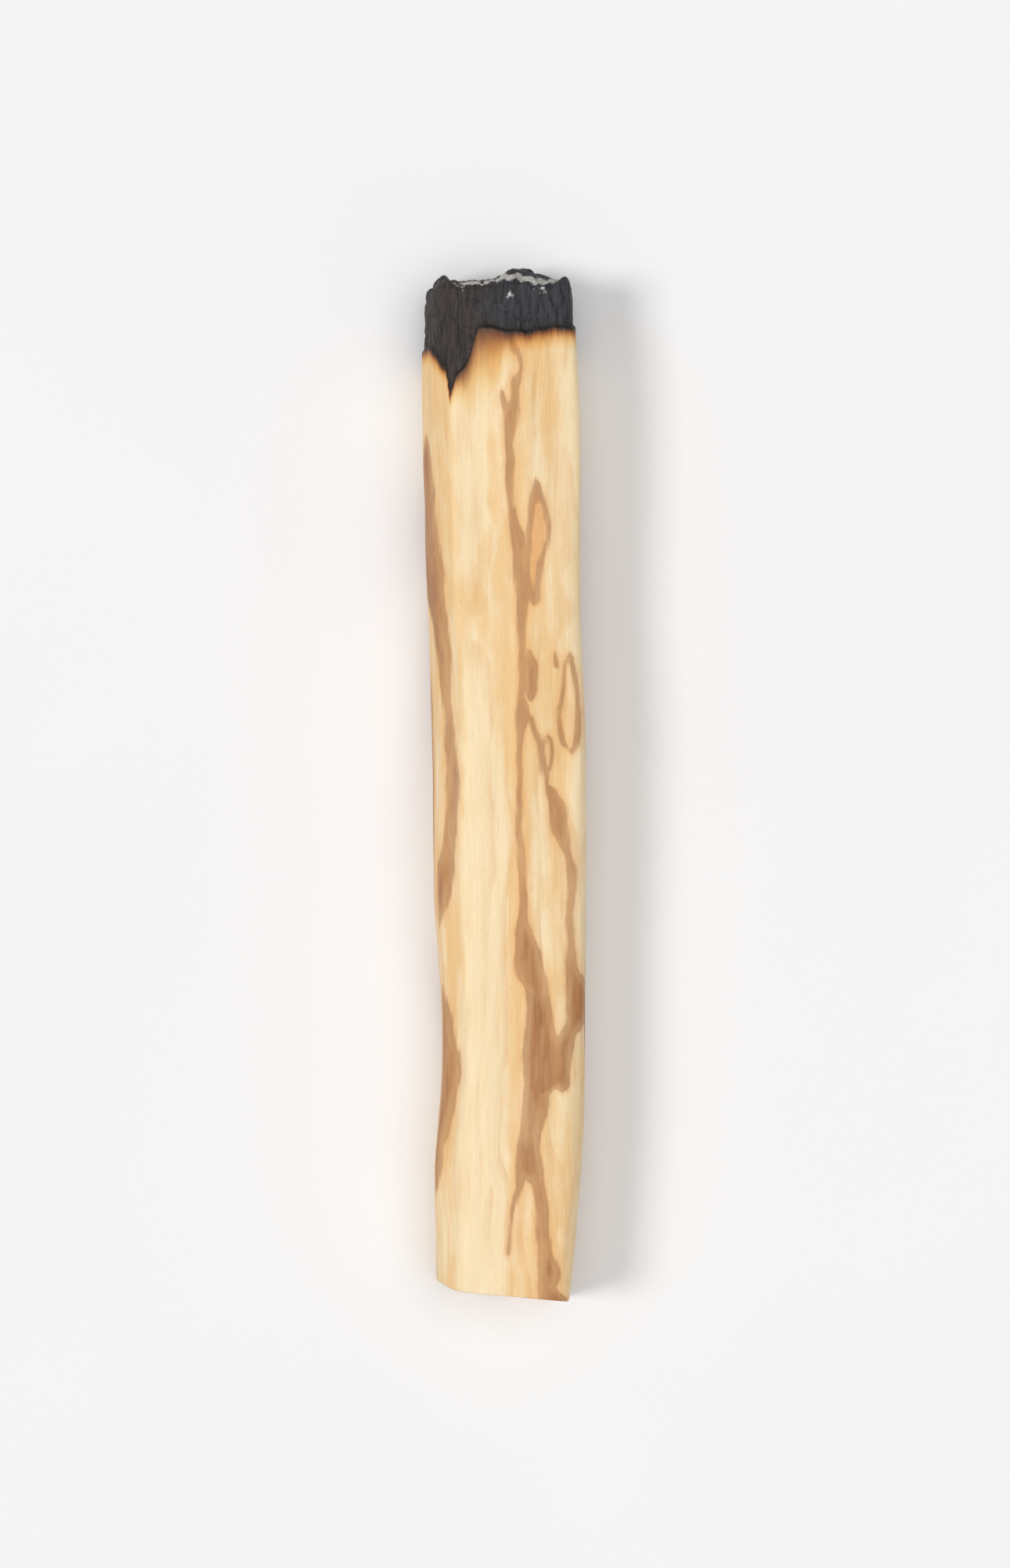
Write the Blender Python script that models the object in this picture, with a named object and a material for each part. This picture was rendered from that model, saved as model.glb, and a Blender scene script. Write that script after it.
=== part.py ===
"""A palo santo stick, split and sawn from the log and burnt at one end, lying on its flat side.

It is one piece of wood, so it is one solid. Run it with blender --background --python part.py, or
from Blender's text editor. Units are metres and +Z is up. The stick lies along Y with its burnt end
at +Y, and the origin is the middle of its footprint, on the surface that it lies on.
"""

import bmesh
import bpy
import numpy as np

MM = 0.001

# Driving dimensions, in millimetres
LENGTH = 100.0
WIDTH = 16.0
THICKNESS = 12.4

# The two long edges seen from above: (place along the stick, place across it)
LEFT_EDGE = (
    (43.5, -7.97), (39.0, -7.93), (30.0, -7.8), (22.0, -7.65), (18.0, -7.45), (14.0, -7.25),
    (10.0, -7.1), (5.0, -6.9), (0.0, -6.8), (-4.0, -6.85), (-8.0, -6.88), (-12.0, -6.78),
    (-16.0, -6.45), (-21.0, -6.12), (-27.0, -6.12), (-30.0, -6.3), (-33.0, -6.62), (-37.0, -6.92),
    (-40.0, -6.85), (-43.0, -6.7), (-50.0, -6.5),
)
RIGHT_EDGE = (
    (43.5, 7.0), (39.0, 7.1), (30.0, 7.2), (20.0, 7.3), (15.0, 7.5), (11.0, 7.75), (0.0, 7.9),
    (-8.0, 7.95), (-20.0, 7.95), (-28.0, 8.0), (-33.0, 7.9), (-38.0, 7.55), (-42.0, 7.1),
    (-45.0, 6.8), (-50.0, 6.2),
)

# The low ridge along the top: its place across the stick, and how far it stands under THICKNESS
RIDGE_PLACE = ((50.0, 0.3), (30.0, 0.8), (10.0, 1.6), (-20.0, 1.3), (-50.0, 2.2))
RIDGE_DROP = (
    (50.0, 0.3), (36.0, 0.0), (18.0, 0.25), (2.0, 0.05), (-18.0, 0.5), (-34.0, 0.2), (-50.0, 0.7),
)

# How far the two bevelled top edges reach in from the long edges
LEFT_BEVEL = (
    (50.0, 1.8), (30.0, 2.1), (10.0, 2.4), (-10.0, 2.0), (-25.0, 2.1), (-30.0, 2.2), (-38.0, 2.1),
    (-50.0, 2.0),
)
RIGHT_BEVEL = ((50.0, 0.5), (20.0, 0.6), (0.0, 1.2), (-25.0, 1.9), (-42.0, 1.5), (-50.0, 0.9))
# and how far the waney lower edges do
LEFT_WANE = ((50.0, 0.8), (28.0, 1.9), (5.0, 0.9), (-20.0, 1.2), (-36.0, 2.3), (-50.0, 1.0))
RIGHT_WANE = ((50.0, 1.1), (30.0, 0.7), (8.0, 1.6), (-16.0, 2.2), (-34.0, 1.0), (-50.0, 1.2))

# How far each side wall leans back, in degrees
LEFT_LEAN = ((50.0, 1.0), (22.0, 3.5), (-4.0, 0.5), (-30.0, -2.0), (-50.0, 1.5))
RIGHT_LEAN = ((50.0, 2.5), (26.0, 0.5), (-2.0, 3.0), (-28.0, 4.0), (-50.0, 0.5))

# The way each side faces, in degrees round the stick from +X towards +Z
RIGHT_WALL, RIGHT_BEVEL_FACE, TOP_RIGHT, TOP_LEFT = 0.0, 52.0, 84.5, 96.0
LEFT_BEVEL_FACE, LEFT_WALL, LEFT_WANE_FACE = 149.0, 180.0, 222.0
UNDERSIDE, RIGHT_WANE_FACE = 270.0, 317.0
AXIS_HEIGHT = 6.2
EDGE_SHARPNESS = 30.0  # the power of the mean that rounds each edge; more is sharper
SUNK = 0.06  # the underside is shaped this far below the surface, then cut off flat on it

# The sawn end: where the cut runs for each place across, with its broken left corner
SAWN_CUT = ((-7.5, -47.2), (-6.3, -48.3), (-5.2, -48.9), (-4.0, -49.1), (0.0, -49.45), (6.3, -50.05))
CUT_LEAN = 0.5  # how far the cut leans back from the underside to the top
CUT_FADES = 9.0  # how far from the end the rings turn square to the stick again

# The burnt end: how far it reaches at each place across, low down and along its top rim
BURNT_REACH = (
    (-7.6, 48.1), (-6.9, 48.85), (-6.25, 49.2), (-5.4, 48.8), (-3.2, 48.7), (-1.0, 49.0), (0.2, 49.7),
    (1.7, 50.0), (3.0, 49.9), (4.2, 49.5), (5.2, 49.0), (6.15, 49.3), (6.9, 48.5),
)
BURNT_RIM = (
    (-7.6, 47.9), (-6.25, 48.9), (-5.4, 48.4), (0.0, 48.5), (4.8, 48.55), (6.15, 49.0), (6.9, 48.1),
)
RIM_SLOPE = (6.0, 12.0)  # the heights between which the burnt end falls back to its top rim
BURNT_FROM = 43.5  # where the rounding of the burnt end begins
BURNT_SQUARENESS = 11.0  # the power of the curve that rounds it
CHAR_FROM = 36.5  # where the rings come closer together, for the char's blocks

# Where the char stops, by the angle round the stick
CHAR_EDGE = (
    (-90.0, 40.6), (-45.0, 41.6), (0.0, 42.9), (36.0, 43.6), (46.0, 43.45), (56.0, 43.2), (71.0, 43.05),
    (84.0, 43.15), (100.0, 43.3), (111.0, 43.4), (115.0, 43.3), (118.5, 42.2), (121.5, 40.8),
    (125.4, 39.7), (129.5, 39.0), (133.0, 38.2), (135.0, 37.4), (136.2, 37.0), (137.4, 37.9),
    (139.4, 39.3), (143.0, 39.8), (149.0, 40.3), (157.0, 41.1), (165.0, 41.8), (180.0, 41.6),
    (225.0, 40.9), (270.0, 40.6),
)
CHAR_SHRINK = 0.28  # how far the char has drawn in from the unburnt wood
CHAR_STEP = 0.5  # the length over which it does
CHAR_CELL = (1.5, 2.9, 1.5)  # the size of the blocks that the char cracks into
CRACK_DEPTH, CRACK_WIDTH = 0.3, 0.28
BLOCK_SWELL = 0.16

# The hand-split surface
RIPPLE_SIZE, RIPPLE_LENGTH, RIPPLE_DEPTH = 2.6, 17.0, 0.17
SWELL_SIZE, SWELL_LENGTH, SWELL_DEPTH = 6.0, 11.0, 0.16

# How finely the solid is faceted
COLUMNS = 56
WOOD_RINGS, CHAR_RINGS, BURNT_END_RINGS = 44, 17, 20
SAWN_END_SHRINK = (0.985, 0.8, 0.5, 0.22)
FINE_STEPS = 1440

# The whole numbers that stir a cell's place into a repeatable number
STIR = (374761393, 668265263, 1442695041)
STIR_SEED, STIR_AGAIN, LAST_BITS = 974634777, 1274126177, 0xFFFFFFFF

WOOD_COLOUR, WOOD_ROUGHNESS = (0.80, 0.60, 0.36), 0.6
CHAR_COLOUR, CHAR_ROUGHNESS = (0.045, 0.042, 0.040), 0.7


def smooth_curve(stations, at):
    """A curve through (place, value) stations, read at the places in `at` and level beyond its ends."""
    places, values = np.array(sorted(stations), float).T
    slopes = np.gradient(values, places)
    left = np.clip(np.searchsorted(places, at) - 1, 0, len(places) - 2)
    span = places[left + 1] - places[left]
    t = np.clip((at - places[left]) / span, 0, 1)
    rise = t * t * (3 - 2 * t)
    return (
        values[left] * (1 - rise)
        + values[left + 1] * rise
        + span * slopes[left] * t * (1 - t) ** 2
        - span * slopes[left + 1] * t * t * (1 - t)
    )


def step(low, high, at):
    """0 below low and 1 above high, with a smooth rise between."""
    t = np.clip((at - low) / (high - low), 0, 1)
    return t * t * (3 - 2 * t)


def lattice(cell, seed):
    """A repeatable number from 0 to 1 for each whole-number cell."""
    number = (np.sum(cell * STIR, axis=-1) + seed * STIR_SEED) & LAST_BITS
    number = ((number ^ (number >> 13)) * STIR_AGAIN) & LAST_BITS
    return (number ^ (number >> 16)) / LAST_BITS


def noise(point, seed):
    """Smooth noise from -1 to 1 in space, one unit to a cell."""
    cell = np.floor(point).astype(np.int64)
    t = point - cell
    t = t * t * t * (t * (t * 6 - 15) + 10)
    total = 0.0
    for corner in np.ndindex(2, 2, 2):
        weight = np.prod(np.where(corner, t, 1 - t), axis=-1)
        total = total + weight * lattice(cell + np.array(corner), seed)
    return total * 2 - 1


def blocks(point, seed):
    """How deep each point lies inside its block, 0 on a crack, in space cracked into unit blocks."""
    cell = np.floor(point).astype(np.int64)
    nearest = np.full(point.shape[:-1], np.inf)
    second = nearest.copy()
    for offset in np.ndindex(3, 3, 3):
        there = cell + np.array(offset) - 1
        jitter = np.stack([lattice(there, seed + axis) for axis in range(3)], axis=-1)
        distance = np.linalg.norm(there + jitter - point, axis=-1)
        second = np.minimum(second, np.maximum(nearest, distance))
        nearest = np.minimum(nearest, distance)
    return second - nearest


def faces_round(along):
    """Each side of the stick, at each place along it: (the way it faces, x and z of a point on it)."""
    left, right = smooth_curve(LEFT_EDGE, along), smooth_curve(RIGHT_EDGE, along)
    ridge = smooth_curve(RIDGE_PLACE, along)
    top = THICKNESS - smooth_curve(RIDGE_DROP, along)
    left_bevel, right_bevel = smooth_curve(LEFT_BEVEL, along), smooth_curve(RIGHT_BEVEL, along)
    left_arris, right_arris = left + left_bevel, right - right_bevel
    left_top = top - (ridge - left_arris) * np.tan(np.radians(TOP_LEFT - 90))
    right_top = top - (right_arris - ridge) * np.tan(np.radians(90 - TOP_RIGHT))
    low = np.full_like(along, -SUNK)
    middle = np.full_like(along, AXIS_HEIGHT)
    return (
        (RIGHT_WALL + smooth_curve(RIGHT_LEAN, along), right, middle),
        (RIGHT_BEVEL_FACE, right_arris, right_top),
        (TOP_RIGHT, ridge, top),
        (TOP_LEFT, ridge, top),
        (LEFT_BEVEL_FACE, left_arris, left_top),
        (LEFT_WALL - smooth_curve(LEFT_LEAN, along), left, middle),
        (LEFT_WANE_FACE, left + smooth_curve(LEFT_WANE, along), low),
        (UNDERSIDE, ridge, low),
        (RIGHT_WANE_FACE, right - smooth_curve(RIGHT_WANE, along), low),
    )


def axis_place(along):
    """How far across the stick its middle line runs."""
    return (smooth_curve(LEFT_EDGE, along) + smooth_curve(RIGHT_EDGE, along)) / 2


def radius(angle, along):
    """The distance from the middle line to the surface.

    It is a power mean of the distances to the sides, which rounds the edges between them.
    """
    total = 0.0
    for facing, x, z in faces_round(along):
        facing = np.radians(facing)
        reach = np.cos(facing) * (x - axis_place(along)) + np.sin(facing) * (z - AXIS_HEIGHT)
        total = total + np.maximum(0, np.cos(angle - facing) / reach) ** EDGE_SHARPNESS
    return total ** (-1 / EDGE_SHARPNESS)


def even_steps(across, up, count):
    """Places that share a curve's length into equal steps, as indices into its points, without its end."""
    length = np.concatenate([[0], np.cumsum(np.hypot(np.diff(across), np.diff(up)))])
    return np.interp(np.arange(count) / count * length[-1], length, np.arange(len(length)))


def even_angles(count):
    """Angles that share the girth of the stick's middle section into equal steps."""
    angle = np.linspace(-np.pi / 2, 1.5 * np.pi, FINE_STEPS + 1)
    reach = radius(angle, np.zeros_like(angle))
    places = even_steps(reach * np.cos(angle), reach * np.sin(angle), count)
    return np.interp(places, np.arange(len(angle)), angle)


def burnt_end_profile(count):
    """The burnt end's rounding, in even steps from its side to its middle.

    Each step gives the share of the radius and the share of the reach to the tip.
    """
    t = np.pi / 2 * (1 - (1 - np.linspace(0, 1, FINE_STEPS)) ** 4)
    shrink, to_tip = np.cos(t) ** (2 / BURNT_SQUARENESS), np.sin(t) ** (2 / BURNT_SQUARENESS)
    places = even_steps(shrink * WIDTH / 2, to_tip * (LENGTH / 2 - BURNT_FROM), count)
    steps = np.arange(FINE_STEPS)
    return zip(np.interp(places, steps, shrink), np.interp(places, steps, to_tip))


def char_depth(angle, along):
    """How far inside the char a place on the surface is, below 0 on unburnt wood."""
    degrees = (np.degrees(angle) + 90) % 360 - 90
    return along - smooth_curve(CHAR_EDGE, degrees)


def relief(point, angle, along):
    """How far the surface stands out: swells and ripples along the grain, and cracked, shrunken char."""
    ripple = noise(point / (RIPPLE_SIZE, RIPPLE_LENGTH, RIPPLE_SIZE), 11) * RIPPLE_DEPTH
    swell = noise(point / (SWELL_SIZE, SWELL_LENGTH, SWELL_SIZE), 23) * SWELL_DEPTH
    char = step(0, CHAR_STEP, char_depth(angle, along))
    inside = blocks(point / CHAR_CELL, 5)
    crack = 1 - step(0, CRACK_WIDTH, inside)
    dome = step(0, 1, inside)
    return ripple + swell + char * (BLOCK_SWELL * dome - CRACK_DEPTH * crack - CHAR_SHRINK)


def ring(angle, along, shrink=1.0, to_tip=0.0):
    """The points round one ring, in millimetres.

    Shrink draws the ring in, and to_tip moves it towards the tip of the burnt end.
    """
    place = np.full_like(angle, along)
    reach = radius(angle, place)
    spread = np.stack([np.cos(angle), np.zeros_like(angle), np.sin(angle)], axis=-1)
    middle = np.stack([axis_place(place), place, np.full_like(angle, AXIS_HEIGHT)], axis=-1)
    point = middle + spread * (reach * shrink)[:, None]
    x, z = point[:, 0], point[:, 2]

    near_cut = 1 - step(-LENGTH / 2, -LENGTH / 2 + CUT_FADES, place)
    point[:, 1] += near_cut * (smooth_curve(SAWN_CUT, x) + LENGTH / 2 + CUT_LEAN * z / THICKNESS)

    low, rim = smooth_curve(BURNT_REACH, x), smooth_curve(BURNT_RIM, x)
    tip = low - (low - rim) * step(*RIM_SLOPE, z)
    point[:, 1] += to_tip * (tip - BURNT_FROM)

    side, forward = shrink ** (BURNT_SQUARENESS - 1), to_tip ** (BURNT_SQUARENESS - 1)
    outward = (spread * side + (0, forward, 0)) / np.hypot(side, forward)
    on_sawn_face = shrink < 1 and to_tip == 0
    if not on_sawn_face:
        point += outward * relief(point, angle, point[:, 1])[:, None]
    point[:, 2] = np.maximum(point[:, 2], 0)
    return point


def all_rings():
    """Every ring from the middle of the sawn end to the middle of the burnt end."""
    angle = even_angles(COLUMNS)
    wood = np.linspace(-LENGTH / 2, CHAR_FROM, WOOD_RINGS, endpoint=False)
    char = np.linspace(CHAR_FROM, BURNT_FROM, CHAR_RINGS, endpoint=False)
    rings = [ring(angle, -LENGTH / 2, shrink) for shrink in reversed(SAWN_END_SHRINK)]
    rings += [ring(angle, along) for along in (*wood, *char)]
    profile = burnt_end_profile(BURNT_END_RINGS)
    rings += [ring(angle, BURNT_FROM, shrink, to_tip) for shrink, to_tip in profile]
    return np.array(rings)


def fitted(points):
    """The points moved over the origin, and stretched slightly to the driving dimensions exactly."""
    low, high = points.min(axis=(0, 1)), points.max(axis=(0, 1))
    middle = (low + high) / 2 * (1, 1, 0)
    return (points - middle) * (WIDTH, LENGTH, THICKNESS) / (high - low)


def build_mesh():
    """The stick's mesh: rings joined by quads, with a fan of triangles closing each end."""
    mesh = bmesh.new()
    loops = []
    for points in fitted(all_rings()) * MM:
        loop = [mesh.verts.new(point) for point in points]
        loops.append([mesh.edges.new((a, b)) for a, b in zip(loop, loop[1:] + loop[:1])])
    for first, second in zip(loops, loops[1:]):
        bmesh.ops.bridge_loops(mesh, edges=first + second)
    for loop in (loops[0], loops[-1]):
        end = bmesh.ops.contextual_create(mesh, geom=loop)["faces"]
        bmesh.ops.poke(mesh, faces=end)
    bmesh.ops.recalc_face_normals(mesh, faces=mesh.faces)
    return mesh


def material(name, colour, roughness):
    """A plain Principled material."""
    made = bpy.data.materials.new(name)
    made.use_nodes = True
    shader = made.node_tree.nodes["Principled BSDF"]
    shader.inputs["Base Color"].default_value = (*colour, 1)
    shader.inputs["Roughness"].default_value = roughness
    return made


def paint_char(data):
    """Gives the faces past the char's edge the second material."""
    for face in data.polygons:
        x, y, z = np.array(face.center) / MM
        angle = np.arctan2(z - AXIS_HEIGHT, x - axis_place(y))
        if char_depth(angle, y) > 0:
            face.material_index = 1


def build_stick():
    """The stick as one object."""
    mesh = build_mesh()
    data = bpy.data.meshes.new("palo_santo_stick")
    mesh.to_mesh(data)
    mesh.free()
    data.materials.append(material("palo_santo_wood", WOOD_COLOUR, WOOD_ROUGHNESS))
    data.materials.append(material("char", CHAR_COLOUR, CHAR_ROUGHNESS))
    paint_char(data)
    data.shade_smooth()
    data.set_sharp_from_angle(angle=np.radians(40))
    stick = bpy.data.objects.new("palo_santo_stick", data)
    bpy.context.scene.collection.objects.link(stick)
    return stick


for old in list(bpy.data.objects):
    bpy.data.objects.remove(old)
build_stick()
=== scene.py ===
import logging
import math
from collections.abc import Sequence
from dataclasses import dataclass, field
from enum import Enum

import bpy
import numpy as np
from mathutils import Matrix, Vector


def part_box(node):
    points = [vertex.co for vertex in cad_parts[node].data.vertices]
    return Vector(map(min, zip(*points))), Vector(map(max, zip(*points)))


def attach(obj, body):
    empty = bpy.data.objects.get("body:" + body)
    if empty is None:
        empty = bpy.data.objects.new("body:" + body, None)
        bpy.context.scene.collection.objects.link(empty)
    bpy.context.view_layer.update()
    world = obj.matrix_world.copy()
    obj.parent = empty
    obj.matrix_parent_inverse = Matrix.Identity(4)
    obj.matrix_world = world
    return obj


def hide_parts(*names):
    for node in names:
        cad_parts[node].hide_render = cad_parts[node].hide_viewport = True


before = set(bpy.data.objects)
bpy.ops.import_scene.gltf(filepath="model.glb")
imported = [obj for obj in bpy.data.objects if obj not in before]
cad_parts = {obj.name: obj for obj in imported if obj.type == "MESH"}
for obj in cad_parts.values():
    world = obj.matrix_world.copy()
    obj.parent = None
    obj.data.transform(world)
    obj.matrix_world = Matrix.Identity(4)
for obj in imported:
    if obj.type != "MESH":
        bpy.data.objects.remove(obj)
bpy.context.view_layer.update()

LOG = logging.getLogger("palo_santo_stick")
MM = 0.001
# Odd numbers that stir a cell's coordinates and a seed into one random number
STIR = (374761393, 668265263, 1442695041)
STIR_SEED, STIR_AGAIN, LAST_BITS = 974634777, 1274126177, 0xFFFFFFFF
# How many short steps a smooth outline is measured in
CURVE_STEPS = 1440
# Half the width of a vein at its two tips, in mm
VEIN_TIP = 0.02
# Further than any distance that counts, and smaller than any
FAR, TINY = 9.0, 1e-6
WHITE = (1.0, 1.0, 1.0, 1.0)

Span = tuple[float, float]
Point = tuple[float, float, float]
Colour = tuple[float, float, float, float]
Stations = tuple[Span, ...]
Course = tuple[Point, ...]
Socket = bpy.types.NodeSocket
Value = float | tuple | Socket


def smooth_curve(stations: Stations, at: np.ndarray) -> np.ndarray:
    """A curve through given stations.

    Between two stations it is the cubic that has each station's value and the slope of its
    neighbours there. Beyond the first and the last it stays level.

    Args:
        stations: (place, value) pairs, in any order.
        at: the places to read the curve at.

    Returns:
        The curve's value at each place.
    """
    places, values = np.array(sorted(stations), float).T
    slopes = np.gradient(values, places)
    left = np.clip(np.searchsorted(places, at) - 1, 0, len(places) - 2)
    span = places[left + 1] - places[left]
    t = np.clip((at - places[left]) / span, 0, 1)
    rise = t * t * (3 - 2 * t)
    start = values[left] * (1 - rise) + span * slopes[left] * t * (1 - t) ** 2
    return start + values[left + 1] * rise - span * slopes[left + 1] * t * t * (1 - t)


def step(low: float, high: float, at: np.ndarray) -> np.ndarray:
    """A smooth rise from 0 to 1.

    Args:
        low: where the rise starts.
        high: where it ends; below low, the step falls instead.
        at: the values to read it at.

    Returns:
        The step at each value.
    """
    t = np.clip((at - low) / (high - low), 0, 1)
    return t * t * (3 - 2 * t)


def lattice(cell: np.ndarray, seed: int) -> np.ndarray:
    """A repeatable number from 0 to 1 for each whole-number cell of space.

    Args:
        cell: whole-number coordinates, the last axis of length 3.
        seed: picks one of many such patterns.

    Returns:
        One number for each cell.
    """
    number = (np.sum(cell * STIR, axis=-1) + seed * STIR_SEED) & LAST_BITS
    number = ((number ^ (number >> 13)) * STIR_AGAIN) & LAST_BITS
    return (number ^ (number >> 16)) / LAST_BITS


def noise(point: np.ndarray, seed: int) -> np.ndarray:
    """Smooth noise in space, one unit to a cell: each cell's corner numbers, blended across it.

    Args:
        point: places, the last axis of length 3.
        seed: picks one of many such patterns.

    Returns:
        A value from -1 to 1 at each place.
    """
    cell = np.floor(point).astype(np.int64)
    t = point - cell
    t = t * t * t * (t * (t * 6 - 15) + 10)
    total = np.zeros(point.shape[:-1])
    for corner in np.ndindex(2, 2, 2):
        weight = np.prod(np.where(corner, t, 1 - t), axis=-1)
        total += weight * lattice(cell + np.array(corner), seed)
    return total * 2 - 1


def blocks(point: np.ndarray, seed: int) -> np.ndarray:
    """Space cracked into unit blocks, each round a point placed at random in its cell.

    Args:
        point: places, the last axis of length 3.
        seed: picks one of many such patterns.

    Returns:
        How much further the second nearest block's point is than the nearest: 0 on a crack.
    """
    cell = np.floor(point).astype(np.int64)
    nearest = np.full(point.shape[:-1], FAR)
    second = nearest.copy()
    for offset in np.ndindex(3, 3, 3):
        there = cell + np.array(offset) - 1
        jitter = np.stack([lattice(there, seed + axis) for axis in range(3)], axis=-1)
        distance = np.linalg.norm(there + jitter - point, axis=-1)
        second = np.minimum(second, np.maximum(nearest, distance))
        nearest = np.minimum(nearest, distance)
    return second - nearest


@dataclass(frozen=True)
class Grain:
    """Noise drawn out along the stick, as its fibres are.

    Attributes:
        wide: the size of its lumps across the stick, in mm.
        long: their size along it, in mm.
        seed: picks one of many such patterns.
        height: how far it stands out at most, in mm.
    """

    wide: float
    long: float
    seed: int
    height: float = 1.0

    def at(self, point: np.ndarray) -> np.ndarray:
        """The noise at each place in mm, from minus the height to plus it."""
        return noise(point / (self.wide, self.long, self.wide), self.seed) * self.height


def turn_degrees(angle: np.ndarray) -> np.ndarray:
    """Angles round the stick in degrees, from -90 at the underside once round to 270."""
    return (np.degrees(angle) + 90) % 360 - 90


def even_steps(across: np.ndarray, up: np.ndarray, count: int) -> np.ndarray:
    """Places that share a curve's length into equal steps, the last one left out.

    Args:
        across: one coordinate of the curve's points.
        up: the other coordinate.
        count: how many places to give.

    Returns:
        The places, as fractional indices into the curve's points.
    """
    length = np.concatenate([[0], np.cumsum(np.hypot(np.diff(across), np.diff(up)))])
    return np.interp(np.arange(count) / count * length[-1], length, np.arange(len(length)))


@dataclass
class Rows:
    """The rows of the stick's grid, from the middle of the sawn end to the middle of the burnt one.

    Attributes:
        along: each row's place along the stick, in mm, before the ends are shaped.
        shrink: how much of the full section it has, from 0 to 1.
        to_tip: how far it has gone from where the burnt end starts to its tip, from 0 to 1.
        sawn: 1 on the sawn face, 0 elsewhere.
        from_cut: how far the rounding of the sawn rim sets it back from the cut, in mm.
    """

    along: np.ndarray
    shrink: np.ndarray
    to_tip: np.ndarray
    sawn: np.ndarray
    from_cut: np.ndarray


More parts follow.
